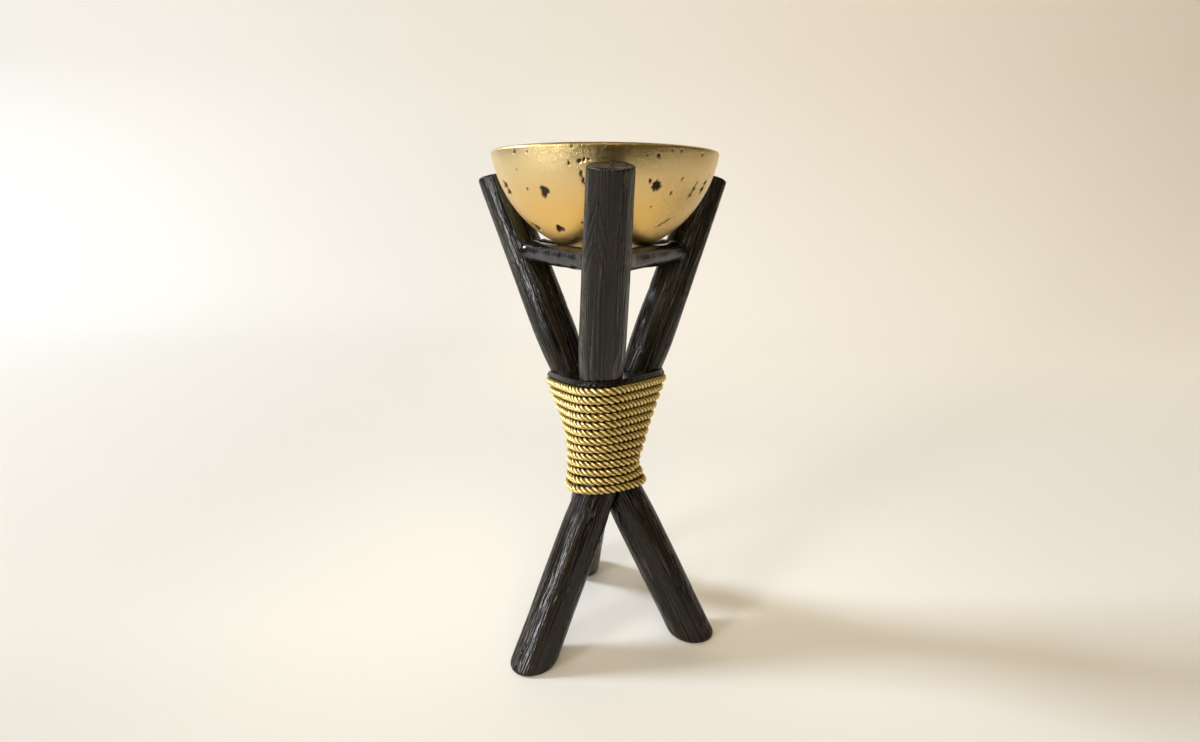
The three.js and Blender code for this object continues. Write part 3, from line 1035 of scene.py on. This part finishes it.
@dataclass
class Rung:
    """A round rung between two neighbouring poles, swelling into both, with a bead at each pole."""

    name: str
    turn: float
    height: float = 244.309
    diameter: float = 12.2
    flare: float = 1.5
    flare_length: float = 13.0
    tenon_diameter: float = 6.0
    tenon_axis_gap: float = 7.6
    shoulder_start: float = 1.0
    shoulder_length: float = 1.6
    bead: float = 0.55
    bead_width: float = 1.5
    bead_sunk: float = 0.6
    lump: float = 0.09
    seed: int = 41
    columns: int = 72
    rows: int = 130

    def _radius(self, along: Array, half: float) -> Array:
        """The radius at distances from the rung's middle.

        Formula: half the diameter plus the flare times u^2, where u is the share of the flare's
        length, plus a bead exp(-v^2) at the pole's surface, dropping to the tenon inside the pole.

        Args:
            along: The distances.
            half: The distance from there to a pole's axis.

        Returns:
            The radii.
        """
        to_axis = half - np.abs(along)
        flare_start = POLE.diameter / 2 + self.flare_length
        share = np.clip((flare_start - to_axis) / (flare_start - self.tenon_axis_gap), 0, 1)
        bead = bell(to_axis - POLE.diameter / 2 + self.bead_sunk, self.bead_width)
        wide = self.diameter / 2 + self.flare * share**2 + self.bead * bead
        shoulder = to_axis - self.tenon_axis_gap - self.shoulder_start
        inside = smooth(0.0, self.shoulder_length, shoulder)
        return self.tenon_diameter / 2 + (wide - self.tenon_diameter / 2) * inside

    def build(self, finish: bpy.types.Material) -> bpy.types.Object:
        """Makes the rung and puts it in its CAD node's place.

        Args:
            finish: Its material.

        Returns:
            The rung's object.
        """
        start = AXIS.at(np.array(self.height))[0]
        end = turned(start, POLE_TURN)
        middle, half = (start + end) / 2, float(np.linalg.norm(end - start)) / 2
        forward = unit(end - start)
        side = np.cross(forward, UPWARDS)
        reach = half - self.tenon_axis_gap
        along = np.linspace(-reach, reach, self.rows)
        angle = circle_angles(self.columns)
        grain = Grain(self.seed + int(self.turn * 10))
        lumps = grain.waves(angle[None, :], along[:, None], (1, 4), 26.0, 12)
        radius = self._radius(along, half)[:, None] + self.lump * lumps - self.lump
        points = (
            middle
            + forward * along[:, None, None]
            + side * (radius * np.cos(angle))[..., None]
            + UPWARDS * (radius * np.sin(angle))[..., None]
        )
        for place, sign in ((start, -1.0), (end, 1.0)):
            normal = unit(np.cross(UPWARDS, place)) * sign
            points = press_behind(points, place - normal * FIT_GAP / 2, normal)
        tips = [turned(middle + forward * sign * reach, self.turn) for sign in (-1, 1)]
        piece = Surface(turned(points, self.turn), *tips).build(f"{self.name}_lacquered", finish)
        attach(piece, "stand")
        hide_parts(self.name)
        return piece


@dataclass(frozen=True)
class Bundle:
    """The outline that a tight line takes round the three poles at one height."""

    sharpness: float = 12.0
    angle_step: float = 0.01
    passes: int = 4

    def reach(self, angle: Array, height: Array) -> Array:
        """How far the bundle reaches from the middle in a direction.

        Formula: the root of the summed powers of the three poles' own reaches, each the reach of
        its axis plus its radius stretched by its lean.

        Args:
            angle: The directions.
            height: The heights.

        Returns:
            The reaches.
        """
        point, tangent = AXIS.at(height)
        total = np.zeros(np.broadcast(angle, height).shape)
        for pole in range(3):
            x, y = np.cos(angle - pole * POLE_TURN), np.sin(angle - pole * POLE_TURN)
            lean = (tangent[..., 0] * x + tangent[..., 1] * y) / tangent[..., 2]
            reach = point[..., 0] * x + point[..., 1] * y + POLE.radius(height) * np.hypot(1, lean)
            total = total + np.maximum(0, reach) ** self.sharpness
        return total ** (1 / self.sharpness)

    def point(self, angle: Array, height: Array, out: Array) -> Array:
        """The outline's point that faces a direction, moved outwards.

        Formula: reach times the direction plus the reach's slope times the direction's normal.

        Args:
            angle: The directions.
            height: The heights.
            out: How far the points are moved outwards.

        Returns:
            The points.
        """
        step = self.angle_step
        reach = self.reach(angle, height) + out
        slope = (self.reach(angle + step, height) - self.reach(angle - step, height)) / (2 * step)
        x = reach * np.cos(angle) - slope * np.sin(angle)
        y = reach * np.sin(angle) + slope * np.cos(angle)
        return np.stack([x, y, np.broadcast_to(height, x.shape)], axis=-1)

    def slanted(self, angle: Array, height: Array, out: Array, slant: Array) -> Array:
        """The same on a slanted level, which meets the tripod's middle at the height given.

        Args:
            angle: The directions.
            height: The heights at the middle.
            out: How far the points are moved outwards.
            slant: How far the level falls in a unit towards the back.

        Returns:
            The points.
        """
        point = self.point(angle, height, out)
        for _ in range(self.passes):
            point = self.point(angle, height - slant * point[..., 1], out)
        return point


BUNDLE = Bundle()


@dataclass
class Rope:
    """The rope wound round the crossing, laid up of three strands."""

    diameter: float = 4.7
    full_diameter: float = 4.95
    pitch: float = 5.55
    turns: int = 13
    top: float = 170.3
    slant_at_top: float = 0.136
    slant_at_bottom: float = 0.2
    strands: int = 3
    lay: float = 11.4
    columns: int = 27
    strand_offset: float = 0.9
    step: float = 0.82
    yarns: int = 3
    steps_per_turn: int = 180

    def _path(self) -> tuple[Array, Array]:
        """The line that the rope follows.

        Formula: the angle falls by a full turn and the height by one pitch a turn, on the bundle's
        outline, and both ends run on straight for one diameter.

        Returns:
            Evenly spaced points, and the outward directions there.
        """
        turns = np.linspace(0, self.turns, self.turns * self.steps_per_turn + 1)
        angle = math.pi / 2 - FULL_TURN * turns
        height = self.top - self.pitch * turns
        slant = self.slant_at_top + (self.slant_at_bottom - self.slant_at_top) * turns / self.turns
        tangent = AXIS.at(height)[1]
        out = (self.diameter / 2 + FIT_GAP) / tangent[:, 2]
        points = BUNDLE.slanted(angle, height, out, slant)
        outward = np.stack([np.cos(angle), np.sin(angle), np.zeros_like(angle)], axis=-1)
        before = points[0] + unit(points[0] - points[1]) * self.diameter
        after = points[-1] + unit(points[-1] - points[-2]) * self.diameter
        points = np.concatenate([[before], points, [after]])
        outward = np.concatenate([outward[:1], outward, outward[-1:]])
        length = np.concatenate([[0], np.cumsum(np.linalg.norm(np.diff(points, axis=0), axis=1))])
        even = np.linspace(0, length[-1], int(length[-1] / self.step) + 1)
        return read_along(even, length, points), unit(read_along(even, length, outward))

    def _outline(self, apart: Array) -> Array:
        """The rope's radius at angles from the middle of the nearest strand.

        Formula: the strands are circles of radius r round a circle of radius c = 0.9 r, so the
        outline is c cos d + sqrt(r^2 - c^2 sin^2 d), where d is the angle.

        Args:
            apart: The angles.

        Returns:
            The radii.
        """
        strand = self.full_diameter / 2 / (1 + self.strand_offset)
        centre = self.strand_offset * strand
        return centre * np.cos(apart) + np.sqrt(strand**2 - (centre * np.sin(apart)) ** 2)

    def _section(self, angle: Array) -> tuple[Array, Array]:
        """The rope's cross-section.

        Args:
            angle: Angles in it.

        Returns:
            The radii, and how near a strand's crest each point is, from 0 to 1.
        """
        share = FULL_TURN / self.strands
        radius = self._outline((angle + share / 2) % share - share / 2)
        lowest = self._outline(np.array(share / 2))
        return radius, (radius - lowest) / (self.full_diameter / 2 - lowest)

    def build(self, finish: bpy.types.Material) -> bpy.types.Object:
        """Makes the rope and puts it in its CAD node's place.

        Formula: the cross-section turns once round the path in each lay, and its radius follows a
        quarter circle over one diameter at both ends. Gold lies on the crests that face outwards,
        the sides that face the next turns are painted dark as shade, and the yarns are cosine waves
        round each strand.

        Args:
            finish: Its material.

        Returns:
            The rope's object.
        """
        path, outward = self._path()
        tangent = unit(np.gradient(path, axis=0))
        out = unit(outward - tangent * np.sum(outward * tangent, axis=1, keepdims=True))
        side = np.cross(tangent, out)
        travelled = np.arange(len(path))[:, None] * self.step
        section = circle_angles(self.columns)[None, :]
        radius, crest = self._section(section)
        twist = FULL_TURN * travelled / self.lay
        ends = np.minimum(travelled, travelled[::-1])
        dome = np.sqrt(1 - (1 - np.clip(ends / self.diameter, 0.0, 1.0)) ** 2) * 0.98 + 0.02
        outwards, sideways = np.cos(section + twist), np.sin(section + twist)
        points = path[:, None, :] + (radius * dome)[..., None] * (
            outwards[..., None] * out[:, None, :] + sideways[..., None] * side[:, None, :]
        )
        surface = Surface(points, path[0], path[-1])
        # Painted shade: darker where the strands face the next turns.
        surface.paint("crest", crest * (0.1 + 0.9 * smooth(-0.15, 0.75, outwards)))
        yarns = 0.5 + 0.5 * np.cos(self.yarns * self.strands * section + twist)
        across = (section / (FULL_TURN / self.strands) + 0.5) % 1.0
        surface.paint("yarn", yarns * np.sin(math.pi * across))
        piece = surface.build("rope_binding_twisted", finish)
        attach(piece, "stand")
        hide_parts("rope_binding")
        return piece


@dataclass
class Core:
    """The moulded filler between the poles, with a rippled lip over the rope's first turn."""

    depth: float = 32.0
    inset: float = 0.9
    lip_width: float = 2.9
    lip_top_width: float = 1.3
    lip_height: float = 3.2
    lip_edge: float = 0.8
    climb: tuple[float, float] = (0.84, 0.95)
    ripple: float = 0.22
    swell: float = 0.25
    tuck: float = 0.25
    rope: Rope = field(default_factory=Rope)
    seed: int = 71
    columns: int = 264
    wall_rows: int = 12
    edge_rows: int = 6
    slope_rows: int = 5
    cap_rows: int = 10

    def _drop(self, angle: Array) -> Array:
        """How far the rope's first turn lies below its start.

        Formula: the pitch times the share of the turn, which falls back to nothing over the climb.
        """
        turns = (math.pi / 2 - angle) / FULL_TURN % 1.0
        return self.rope.pitch * turns * (1 - smooth(*self.climb, turns))

    def build(self, finish: bpy.types.Material) -> bpy.types.Object:
        """Makes the core and puts it in its CAD node's place.

        Formula: a profile of how far each row stands out of the bundle, carried round the bundle's
        outline on the slanted level of the rope; the ripples are a few waves round the lip.

        Args:
            finish: Its material.

        Returns:
            The core's object.
        """
        bottom = self.rope.top + self.rope.diameter / 2 + FIT_GAP
        top = bottom + self.lip_height
        quarter = np.linspace(0, math.pi / 2, self.edge_rows)
        edge = self.lip_width - self.lip_edge
        top_edge = self.lip_top_width - self.lip_edge
        wall = np.linspace(top - self.depth, bottom, self.wall_rows)
        out = np.concatenate([
            np.full(len(wall), -self.inset),
            edge + self.lip_edge * np.sin(quarter),
            np.linspace(edge, top_edge, self.slope_rows)[1:-1] + self.lip_edge,
            top_edge + self.lip_edge * np.cos(quarter),
        ])
        height = np.concatenate([
            wall,
            bottom + self.lip_edge * (1 - np.cos(quarter)),
            np.linspace(bottom + self.lip_edge, top - self.lip_edge, self.slope_rows)[1:-1],
            top - self.lip_edge * (1 - np.sin(quarter)),
        ])
        angle = circle_angles(self.columns)[None, :]
        lip = smooth(0.0, self.lip_width, out)[:, None]
        level = np.zeros((len(height), 1))
        ripple = Grain(self.seed).waves(angle, level, (7, 40), 40.0, 16) * self.ripple * lip
        rise = Grain(self.seed + 1).waves(angle, level, (5, 26), 40.0, 16) * self.swell * lip
        rise = rise * smooth(bottom, top, height)[:, None]
        rise = rise - self._drop(angle) * (height >= bottom - FIT_GAP)[:, None]
        stand_out = out[:, None] + ripple - self.tuck * lip
        slant = np.array(self.rope.slant_at_top)
        points = BUNDLE.slanted(angle, height[:, None] + rise, stand_out, slant)
        shares = np.linspace(0.94, 0.1, self.cap_rows)[:, None, None]
        ends = []
        for row in (0, -1):
            centre = np.array([0.0, 0.0, float(np.mean(points[row, :, 2]))])
            ends.append(centre)
            cap = centre + (points[row] - centre) * (shares if row else shares[::-1])
            points = np.concatenate([points, cap] if row else [cap, points])
        piece = Surface(points, *ends).build("binding_core_moulded", finish)
        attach(piece, "stand")
        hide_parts("binding_core")
        return piece


# The bowl

NO_PIT = 99.0  # a distance that no pit reaches


class Flaw(Enum):
    """Kinds of flaw in the gold."""

    POCK = "pock"
    CHIP = "chip"
    STAR = "star"
    CRACK = "crack"


@dataclass(frozen=True)
class Pit:
    """A flaw of the bowl's outside, by its place and full size in millimetres and degrees."""

    azimuth: float
    height: float
    width: float
    length: float
    turn: float = 0.0
    depth: float = 0.8
    kind: Flaw = Flaw.POCK

    def field(self, directions: Array, sphere: float, centre_height: float) -> Array:
        """How far each point lies from the pit's middle, where 1 is the pit's edge.

        Formula: the offsets east and north of the middle, turned and divided by the half sizes,
        give a radius, which is divided by an uneven outline 1 + sum of b cos(k a + p). A chip has
        a corner that points down. A crack wanders sideways by two sines of its length, and its
        width swings between about a third and the whole.

        Args:
            directions: Unit vectors from the sphere's centre.
            sphere: The sphere's radius.
            centre_height: The height of the sphere's centre.

        Returns:
            The distances.
        """
        rise = (self.height - centre_height) / sphere
        level = math.sqrt(1 - rise**2)
        azimuth = math.radians(self.azimuth)
        middle = np.array([level * math.cos(azimuth), level * math.sin(azimuth), rise])
        east = np.array([-math.sin(azimuth), math.cos(azimuth), 0.0])
        north = np.cross(middle, east)
        right, up = sphere * directions @ east, sphere * directions @ north
        cosine, sine = math.cos(math.radians(self.turn)), math.sin(math.radians(self.turn))
        across, along = right * cosine + up * sine, up * cosine - right * sine
        phase = self.azimuth * 7.7 + self.height * 3.1  # unlike that of any other pit
        if self.kind is Flaw.CRACK:
            across = across - 0.35 * np.sin(along * 1.9 + phase)
            across = across - 0.15 * np.sin(along * 5.3 + phase)
            half = self.width / 2 * (0.68 + 0.32 * np.sin(along * 1.6 + 2 * phase))
            across = across / np.maximum(half, 0.08) * self.width / 2
        across, along = across / (self.width / 2), along / (self.length / 2)
        around = np.arctan2(along, across)

        def lobe(size: float, count: int, turn: float) -> Array:
            """One wave of the outline round the pit's middle."""
            return size * np.cos(count * around + turn)

        outline = 1 + {
            Flaw.POCK: lobe(0.16, 2, phase) + lobe(0.13, 3, 2 * phase) + lobe(0.1, 5, 3 * phase),
            Flaw.CHIP: lobe(0.2, 3, 1.5 * math.pi) + lobe(0.07, 5, phase) + lobe(0.06, 9, phase),
            Flaw.STAR: lobe(0.06, 3, phase) + lobe(0.13, 7, phase) + lobe(0.1, 11, phase),
            Flaw.CRACK: np.zeros_like(around),
        }[self.kind]
        distance = np.hypot(across, along) / np.maximum(outline, 0.3)
        return np.where(directions @ middle > 0, distance, NO_PIT)


# Read off the photo: azimuth and height of the middle, width, length, turn, depth, kind.
PHOTO_SIDE_PITS = (
    Pit(-121.8, 277.8, 5.0, 6.6, -26, 1.3, Flaw.CHIP),
    Pit(-124.0, 259.5, 4.8, 6.4, -48, 1.3, Flaw.CHIP),
    Pit(-64.0, 280.8, 5.0, 5.2, 0, 1.2, Flaw.STAR), Pit(-67.9, 283.0, 1.6, 2.0),
    Pit(-135.2, 296.7, 2.0, 2.3), Pit(-126.9, 296.2, 1.1, 1.0), Pit(-136.4, 288.4, 1.1, 1.0),
    Pit(-104.0, 298.0, 1.7, 1.6), Pit(-101.1, 291.4, 2.2, 2.4), Pit(-99.0, 292.0, 1.6, 1.7),
    Pit(-106.0, 290.5, 1.4, 2.0), Pit(-96.9, 292.2, 1.8, 1.0), Pit(-80.6, 297.9, 1.5, 1.4),
    Pit(-65.5, 294.3, 1.5, 2.9, 50), Pit(-71.0, 294.3, 1.1, 1.1), Pit(-53.7, 277.7, 1.3, 2.1, -20),
    Pit(-49.4, 284.4, 1.2, 1.6), Pit(-53.8, 297.2, 1.1, 1.0), Pit(-38.9, 296.4, 1.1, 1.0),
    Pit(-23.5, 287.2, 1.1, 1.1), Pit(-133.0, 279.2, 1.1, 1.6), Pit(-104.3, 262.8, 1.0, 1.3),
    Pit(-59.0, 297.2, 1.3, 0.9), Pit(-63.2, 270.9, 0.9, 0.9),
    Pit(-37.4, 279.3, 2.4, 10.5, -12, 0.9, Flaw.CRACK),
    Pit(-26.5, 281.2, 4.4, 8.5, -8, 1.2, Flaw.CRACK),
    Pit(-47.2, 262.9, 1.8, 10.5, -45, 0.8, Flaw.CRACK),
    Pit(-154.0, 280.0, 7.5, 9.5, 12, 1.3, Flaw.CRACK),
    Pit(-152.5, 260.0, 7.5, 6.0, -30, 1.3, Flaw.CHIP),
    Pit(-100.2, 284.0, 1.9, 9.0, 14, 0.5, Flaw.CRACK),
)


@dataclass
class Bowl:
    """The pitted bowl: part of a sphere with a rounded rim and a flat floor inside."""

    sphere: float = 63.6
    centre: float = 307.9037
    depth: float = 55.5
    wall: float = 2.8
    floor_diameter: float = 48.0
    columns: int = 600
    crowding: float = 0.35
    outer_rows: int = 136
    row_power: float = 0.85
    rim_rows: int = 7
    inner_rows: int = 14
    floor_rows: int = 4
    seed: int = 5
    far_pits: int = 30
    raggedness: float = 0.2

    def _arc(self, radius: float, angle: Array) -> tuple[Array, Array]:
        """Radii and heights at angles on a circle about the sphere's centre."""
        return radius * np.cos(angle), self.centre + radius * np.sin(angle)

    def _profile(self) -> tuple[Array, Array, Array]:
        """The rows, from the bottom round the rim to the floor inside.

        Formula: arcs about the sphere's centre for both walls and a half circle for the rim.

        Returns:
            Each row's radius, its height, and how deep pits go there, from 0 to 1.
        """
        inner, middle = self.sphere - self.wall, self.sphere - self.wall / 2
        drop = self.sphere - self.depth + self.wall / 2
        rim = -math.asin(drop / middle)
        floor = -math.acos(self.floor_diameter / 2 / inner)
        climb = np.linspace(0.0, 1.0, self.outer_rows + 1)[1:] ** self.row_power
        outer = self._arc(self.sphere, -math.pi / 2 + (rim + math.pi / 2) * climb)
        turn = np.linspace(rim, rim + math.pi, self.rim_rows + 2)[1:-1]
        lip = (
            middle * math.cos(rim) + self.wall / 2 * np.cos(turn),
            self.centre - drop + self.wall / 2 * np.sin(turn),
        )
        inside = self._arc(inner, np.linspace(rim, floor, self.inner_rows))
        shares = np.linspace(0.88, 0.2, self.floor_rows)
        flat = (shares * self.floor_diameter / 2, np.full(self.floor_rows, inside[1][-1]))
        parts = (outer, lip, inside, flat)
        pitting = np.concatenate([np.full(len(part[0]), float(part is outer)) for part in parts])
        pitting[: self.outer_rows] *= 1 - smooth(-1.2, 0.0, outer[1] - outer[1][-1] - 0.2) * 0.8
        radius, height = (np.concatenate([part[column] for part in parts]) for column in (0, 1))
        return radius, height, pitting

    def _pits(self) -> list[Pit]:
        """The pits that the photo shows, and others like them on the side away from it.

        Returns:
            The pits. Every sixth of the others is a crack.
        """
        random = np.random.default_rng(self.seed)
        pits = list(PHOTO_SIDE_PITS)
        for number in range(self.far_pits):
            azimuth = random.uniform(-25, 200)
            height = 299.0 - 42 * random.uniform(0, 1) ** 1.4
            width = 0.9 + 3.6 * random.uniform(0, 1) ** 4
            turn = random.uniform(-60, 60)
            if number % 6 == 5:
                length = random.uniform(6, 10)
                pits.append(Pit(azimuth, min(height, 292.0), 1.0, length, turn, 0.7, Flaw.CRACK))
            else:
                length = width * random.uniform(0.9, 1.5)
                pits.append(Pit(azimuth, height, width, length, turn, 0.4 + 0.2 * width))
        return pits

    def _flaws(self, directions: Array) -> tuple[Array, Array]:
        """What the pits do to the outside.

        Formula: a pit of distance field f sinks the wall by its depth times one less the smooth
        step of f, and raises a thin lip exp(-((f-1.25)/0.2)^2) round it.

        Args:
            directions: Unit vectors from the sphere's centre.

        Returns:
            How deep each point is sunk, in millimetres, and how dark it is, from 0 to 1.
        """
        sunk, dark = np.zeros((2, *directions.shape[:2]))
        for pit in self._pits():
            away = pit.field(directions, self.sphere, self.centre)
            deep = pit.depth * (1 - smooth(0.6, 1.05, away))
            lip = 0.16 * min(1.0, pit.width / 2) * bell(away - 1.25, 0.2)
            sunk = np.maximum(sunk, deep) - lip * (sunk < 0.05)
            dark = np.maximum(dark, 1 - smooth(0.8, 1.15, away))
        return sunk, dark

    def _tarnish_and_painted_shade(self, azimuth: Array, level: Array) -> Array:
        """How far the gold is darkened to olive.

        Formula: a bell about the front that grows towards the rim, which is a painted reflection of
        the dim room in front; a band at the rim that is weaker on the right; and a painted shade on
        the right that grows downwards.

        Args:
            azimuth: Degrees, where the right is 0 and the front is -90.
            level: Heights.

        Returns:
            The darkening, from 0 to 1.
        """
        # Painted reflection of the dim room in front, at the front below the rim.
        painted_reflection = 0.62 * bell(azimuth + 86, 28) * smooth(278.0, 298.0, level)
        right = smooth(-80.0, -35.0, azimuth)
        rim = (0.35 - 0.25 * right) * smooth(291.0, 300.0, level)
        # Painted shade on the right side, growing downwards.
        shade = 0.5 * right * smooth(294.0, 274.0, level)
        return np.clip(painted_reflection + (rim + shade), 0, 1)

    def build(self, finish: bpy.types.Material) -> bpy.types.Object:
        """Makes the bowl and puts it in its CAD node's place.

        Formula: columns lie at angles v - c sin v from the front, which crowds them there, and each
        point is sunk towards the sphere's centre. Fine waves make the pits' floors ragged.

        Args:
            finish: Its material.

        Returns:
            The bowl's object.
        """
        radius, height, pitting = self._profile()
        even = np.linspace(-math.pi, math.pi, self.columns, endpoint=False)
        angle = even - self.crowding * np.sin(even) - math.pi / 2
        radius, level, pitting = radius[:, None], height[:, None], pitting[:, None]
        corners = (radius * np.cos(angle), radius * np.sin(angle), level)
        points = np.stack(np.broadcast_arrays(*corners), axis=-1)
        directions = unit(points - self.centre * UPWARDS)
        outer = slice(0, self.outer_rows)
        sunk, dark = np.zeros((2, *points.shape[:2]))
        sunk[outer], dark[outer] = self._flaws(directions[outer])
        ragged = Grain(self.seed).waves(angle[None, :], level * 5, (40, 160), 30.0, 20)
        sunk = sunk + np.clip(sunk, 0, 1) * self.raggedness * ragged
        points = points - directions * (sunk * pitting)[..., None]
        surface = Surface(points, (self.centre - self.sphere) * UPWARDS, height[-1] * UPWARDS)
        azimuth = (np.degrees(angle)[None, :] + 180) % 360 - 180
        # Painted highlight: the gold is painted lighter towards the rim.
        pale = np.broadcast_to(smooth(262.0, 292.0, level), dark.shape)
        surface.paint("pit", dark * pitting)
        # Painted reflection and painted shade, with a band of tarnishing at the rim.
        surface.paint("tarnish", self._tarnish_and_painted_shade(azimuth, level))
        surface.paint("paler", pale, 0.0, 0.5)
        piece = surface.build("bowl_pitted", finish)
        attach(piece, "bowl")
        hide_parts("bowl")
        return piece


# The studio


@dataclass(frozen=True)
class Viewpoint:
    """The photo's camera, in millimetres about the tripod's middle and in radians.

    The focal length is in pixels of the photo, and the shift is a share of its width.
    """

    place: Triple = (1.391, -360.0, 270.033)
    down: float = 0.2608
    roll: float = 0.0074
    focal_pixels: float = 608.98
    image_width: float = 1200.0
    sensor: float = 36.0
    shift: float = -0.005

    def build(self) -> None:
        """Makes the camera and gives it to the scene."""
        data = bpy.data.cameras.new("photo_camera")
        data.sensor_width = self.sensor
        data.lens = self.focal_pixels * self.sensor / self.image_width
        data.shift_x = self.shift
        data.clip_start, data.clip_end = 0.01, 20.0
        forward = Vector((0.0, math.cos(self.down), -math.sin(self.down)))
        level = Vector((1.0, 0.0, 0.0))
        upright = level.cross(forward)
        right = level * math.cos(self.roll) + upright * math.sin(self.roll)
        above = upright * math.cos(self.roll) - level * math.sin(self.roll)
        turn = Matrix((right, above, -forward)).transposed().to_4x4()
        camera = add_object("photo_camera", data)
        where = np.array(self.place) * METRES + tripod_middle()
        camera.matrix_world = Matrix.Translation(Vector(where)) @ turn
        bpy.context.scene.camera = camera


@dataclass(frozen=True)
class Lamp:
    """A soft lamp aimed at a point, with its width and height, in metres and watts."""

    name: str
    place: Triple
    aim: Triple
    size: tuple[float, float]
    watts: float
    colour: Colour

    def build(self) -> None:
        """Makes the lamp."""
        data = bpy.data.lights.new(self.name, "AREA")
        data.shape = "RECTANGLE"
        data.size, data.size_y = self.size
        data.energy = self.watts
        data.color = self.colour
        lamp = add_object(self.name, data)
        lamp.location = self.place
        beam = Vector(self.aim) - Vector(self.place)
        lamp.rotation_euler = beam.to_track_quat("-Z", "Y").to_euler()


@dataclass(frozen=True)
class Backdrop:
    """A paper sweep: a floor that curves up into a wall, in metres."""

    half_width: float = 2.2
    front: float = -0.6
    back: float = 1.6
    bend: float = 0.7
    wall: float = 3.5
    bend_rows: int = 24

    def build(self, finish: bpy.types.Material) -> None:
        """Makes the sweep: a profile of a flat, a quarter circle and an upright, carried sideways.

        Args:
            finish: Its material.
        """
        quarter = np.linspace(0, math.pi / 2, self.bend_rows)
        curve = self.back - self.bend * (1 - np.sin(quarter))
        depth = np.concatenate([[self.front], curve, [self.back]])
        height = np.concatenate([[0.0], self.bend * (1 - np.cos(quarter)), [self.wall]])
        left = np.stack([np.full_like(depth, -self.half_width), depth, height], axis=-1)
        right = left * np.array([-1.0, 1.0, 1.0])
        count = len(depth)
        rows = np.arange(count - 1)
        faces = np.stack([rows, rows + count, rows + count + 1, rows + 1], axis=-1)
        mesh = bpy.data.meshes.new("paper_sweep")
        mesh.from_pydata(np.concatenate([left, right]).tolist(), [], faces.tolist())
        mesh.polygons.foreach_set("use_smooth", np.ones(len(faces), dtype=bool))
        mesh.materials.append(finish)
        sweep = add_object("paper_sweep", mesh)


@dataclass(frozen=True)
class Studio:
    """A plain pale set in a dim warm room, with four lamps.

    The key stands on the left, and a soft lamp above and another in front. The window is a narrow
    upright lamp, low on the left, which the left leg and the rope mirror as a bright band.
    """

    room: Colour = (1.0, 0.84, 0.56)
    room_strength: float = 0.1
    lamps: tuple[Lamp, ...] = (
        Lamp("key", (-5.2, 0.65, 2.85), (0.0, 0.0, 0.12), (1.2, 1.2), 338.0, (0.77, 0.875, 1.0)),
        Lamp("above", (0.0, -1.0, 3.2), (0.0, -0.999, 0.0), (5.0, 5.0), 34.0, (1.0, 0.85, 0.59)),
        Lamp("front", (0.3, -2.4, 2.2), (0.0, 0.0, 0.1), (2.0, 2.0), 29.0, (1.0, 0.86, 0.6)),
        Lamp("window", (-1.9, -1.65, 0.55), (0.0, 0.0, 0.15), (0.6, 1.0), 40.0, (0.96, 0.97, 1.0)),
    )

    def build(self) -> None:
        """Makes the backdrop, the lamps and the room's light."""
        Backdrop().build(Paper().material())
        for lamp in self.lamps:
            lamp.build()
        world = bpy.data.worlds.new("pale_room")
        world.use_nodes = True
        background = world.node_tree.nodes["Background"]
        background.inputs["Color"].default_value = (*self.room, 1.0)
        background.inputs["Strength"].default_value = self.room_strength
        bpy.context.scene.world = world
        bpy.context.scene.view_settings.view_transform = "Standard"


def dress_peg() -> None:
    """Gives the hidden peg, whose solid stays, its plain wood."""
    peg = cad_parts["crossing_peg"]
    peg.data.materials.clear()
    peg.data.materials.append(PlainWood().material())


def main() -> None:
    """Builds the studio and every piece of the candle holder."""
    logging.basicConfig(level=logging.INFO, format="%(name)s: %(message)s")
    Viewpoint().build()
    Studio().build()
    wood, lacquer = CarvedWood().material(), Lacquer().material()
    filler = Lacquer("black_filler", waves_per_mm=0.35, ripple=0.3, shine=0.12).material()
    marks = Cathedral(angle=-118.0, apexes=(277.0, 268.5, 259.0))
    pieces: list[tuple[Pole | Rung | Core | Rope | Bowl, bpy.types.Material]] = [
        (Pole(PoleName.FRONT, seed=11, cathedral=marks), wood),
        (Pole(PoleName.RIGHT, seed=23), wood),
        (Pole(PoleName.LEFT, seed=37), wood),
        (Rung("rung_right", turn=0.0), lacquer),
        (Rung("rung_back", turn=POLE_TURN), lacquer),
        (Rung("rung_left", turn=-POLE_TURN), lacquer),
        (Core(), filler),
        (Rope(), RopeGold().material()),
        (Bowl(), AgedGold().material()),
    ]
    for maker, finish in pieces:
        piece = maker.build(finish)
        LOG.info("%s: %d faces", piece.name, len(piece.data.polygons))
    dress_peg()


if __name__ == "__main__":
    main()
